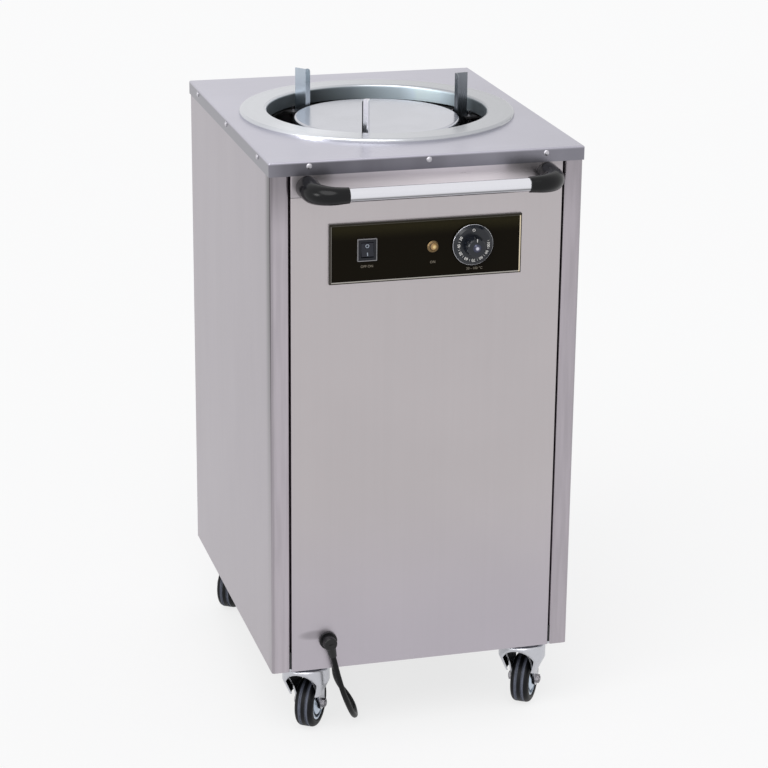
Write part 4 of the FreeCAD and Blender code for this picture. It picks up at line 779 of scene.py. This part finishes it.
def lettering(bm, words, height, where, weight):
    """Printed letters or numbers: where turns the flat text, read from +Z, onto its face."""
    text = bpy.data.curves.new("letters", "FONT")
    text.body, text.size, text.extrude, text.offset = words, height, INK_THICKNESS / 2, weight
    text.align_x, text.align_y, text.resolution_u = "CENTER", "CENTER", 3
    holder = bpy.data.objects.new("letters", text)
    mesh = bpy.data.meshes.new_from_object(holder)
    mesh.transform(where)
    bm.from_mesh(mesh)
    bpy.data.objects.remove(holder)
    bpy.data.meshes.remove(mesh)


# The lift springs: close-wound coils, built at the length of their part and left still, though the real
# ones stretch as the platform goes down.
SPRING_MEAN, SPRING_WIRE = 0.00625, 0.00072
SPRING_TURNS = 104
SPRING_STEPS = 14
WIRE_SIDES = 6


def lift_spring(number):
    low, high = (Vector(corner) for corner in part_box(f"lift_spring_{number}"))
    centre = (low + high) / 2
    foot = Vector((centre.x, centre.y, low.z + SPRING_WIRE))
    rise = high.z - low.z - 2 * SPRING_WIRE
    bm = bmesh.new()
    ring = bmesh.ops.create_circle(bm, segments=WIRE_SIDES, radius=SPRING_WIRE)["verts"]
    bmesh.ops.transform(bm, verts=ring,
                        matrix=Matrix.Translation(foot + Vector((SPRING_MEAN, 0, 0))) @ UPRIGHT)
    edges = list({edge for vert in ring for edge in vert.link_edges})
    steps = SPRING_TURNS * SPRING_STEPS
    bmesh.ops.spin(bm, geom=ring + edges, cent=foot, axis=(0, 0, 1), dvec=(0, 0, rise / steps),
                   angle=math.tau * SPRING_TURNS, steps=steps, use_merge=False, use_duplicate=False)
    ends = [edge for edge in bm.edges if edge.is_boundary]
    bmesh.ops.holes_fill(bm, edges=ends, sides=WIRE_SIDES)
    spring = solid(f"spring_coil_{number}", bm, "bright_steel", body=None)
    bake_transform(spring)
    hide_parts(f"lift_spring_{number}")


for number in (1, 2, 3):
    lift_spring(number)


# The dial: a bright rim, numbers from 30 to 100 with ticks between them, and a mark on the grip.
# Its face, the grip's nose and the rim stand this far in front of the panel.
DIAL_FACE, DIAL_NOSE, RIM_DEPTH = 0.0098, 0.0268, 0.0062
RIM_RADIUS, RIM_WIRE = 0.0289, 0.00055
NUMBER_CIRCLE, TICK_CIRCLE, ZERO_CIRCLE, POINTER_CIRCLE = 0.0214, 0.0220, 0.0216, 0.0112
POINTER_SIZE, POINTER_ROUNDING = (0.0012, 0.0046, 0.0003), 0.00008
FIRST_NUMBER, NUMBER_STEP, NUMBERS = 30, 10, 8
FIRST_TURN, TURN_STEP = 300, 30
NUMBER_HEIGHT, TICK_HEIGHT = 0.0056, 0.0034
NUMBER_WEIGHT, TICK_WEIGHT, CAPTION_WEIGHT = 0.00016, 0.0001, 0.00006


def on_dial(clockwise, radius, depth):
    """A place on the dial that reads upright from the middle, at an angle from the top."""
    middle = Matrix.Translation(DIAL - Vector((0, depth, 0)))
    turn = Matrix.Rotation(-math.radians(clockwise), 4, "Z")
    return middle @ UPRIGHT @ turn @ Matrix.Translation((0, radius, 0))


def dial_marks():
    rim = bmesh.new()
    hoop(rim, DIAL - Vector((0, RIM_DEPTH, 0)), (0, -1, 0), RIM_RADIUS, RIM_WIRE, 96)
    solid("dial_rim", rim, "chrome", "dial")
    marks = bmesh.new()
    for k in range(NUMBERS):
        clockwise = FIRST_TURN - TURN_STEP * k
        number = str(FIRST_NUMBER + NUMBER_STEP * k)
        place = on_dial(clockwise, NUMBER_CIRCLE, DIAL_FACE)
        lettering(marks, number, NUMBER_HEIGHT, place, NUMBER_WEIGHT)
        place = on_dial(clockwise - TURN_STEP / 2, TICK_CIRCLE, DIAL_FACE)
        lettering(marks, "|", TICK_HEIGHT, place, TICK_WEIGHT)
    lettering(marks, "O", NUMBER_HEIGHT, on_dial(0, ZERO_CIRCLE, DIAL_FACE), NUMBER_WEIGHT)
    solid("dial_numbers", marks, "nylon", "dial", "print", smooth=False)
    pointer = bar(on_dial(0, POINTER_CIRCLE, DIAL_NOSE), POINTER_SIZE, POINTER_ROUNDING, 1)
    solid("dial_pointer", pointer, "nylon", "dial", "print", smooth=False)


dial_marks()


# The rocker's marks: a ring above a stroke, on its dished face.
MARK_HEIGHT = 0.0056
RING_MARK_RADIUS, RING_MARK_WIRE, RING_MARK_FLATNESS = 0.0022, 0.00055, 0.6
STROKE_SIZE, STROKE_ROUNDING = (0.0012, 0.0048, 0.0006), 0.0001


def on_rocker(height):
    """A place on the rocker's face, above or below its middle, that turns a flat mark onto it."""
    start = SWITCH + Vector((0, -0.05, height))
    spot, normal = NODES["rocker"].ray_cast(start, (0, 1, 0))[1:3]
    return standing(spot, normal)


def rocker_marks():
    ring = bmesh.new()
    hoop(ring, (0, 0, 0), (0, 0, 1), RING_MARK_RADIUS, RING_MARK_WIRE, 32, flat=RING_MARK_FLATNESS)
    bmesh.ops.transform(ring, verts=ring.verts, matrix=on_rocker(MARK_HEIGHT))
    solid("rocker_ring_mark", ring, "nylon", "rocker", "mark")
    stroke = bar(on_rocker(-MARK_HEIGHT), STROKE_SIZE, STROKE_ROUNDING, 2)
    solid("rocker_stroke_mark", stroke, "nylon", "rocker", "mark")


rocker_marks()


# Plain captions on the control plate.
PLATE_FACE = 0.0020
CAPTION_HEIGHT = 0.0050
CAPTION_DROP, DIAL_CAPTION_DROP, DIAL_CAPTION_SHIFT = 0.0200, 0.0330, 0.004


def caption(name, words, x, drop):
    bm = bmesh.new()
    place = Matrix.Translation((x, FRONT - PLATE_FACE, PLATE_HEIGHT - drop))
    lettering(bm, words, CAPTION_HEIGHT, place @ UPRIGHT, CAPTION_WEIGHT)
    solid(name, bm, "nylon", own="caption", smooth=False)


caption("switch_caption", "OFF ON", SWITCH.x, CAPTION_DROP)
caption("lamp_caption", "ON", LAMP.x, CAPTION_DROP)
caption("dial_caption", "30 - 100 °C", DIAL.x + DIAL_CAPTION_SHIFT, DIAL_CAPTION_DROP)
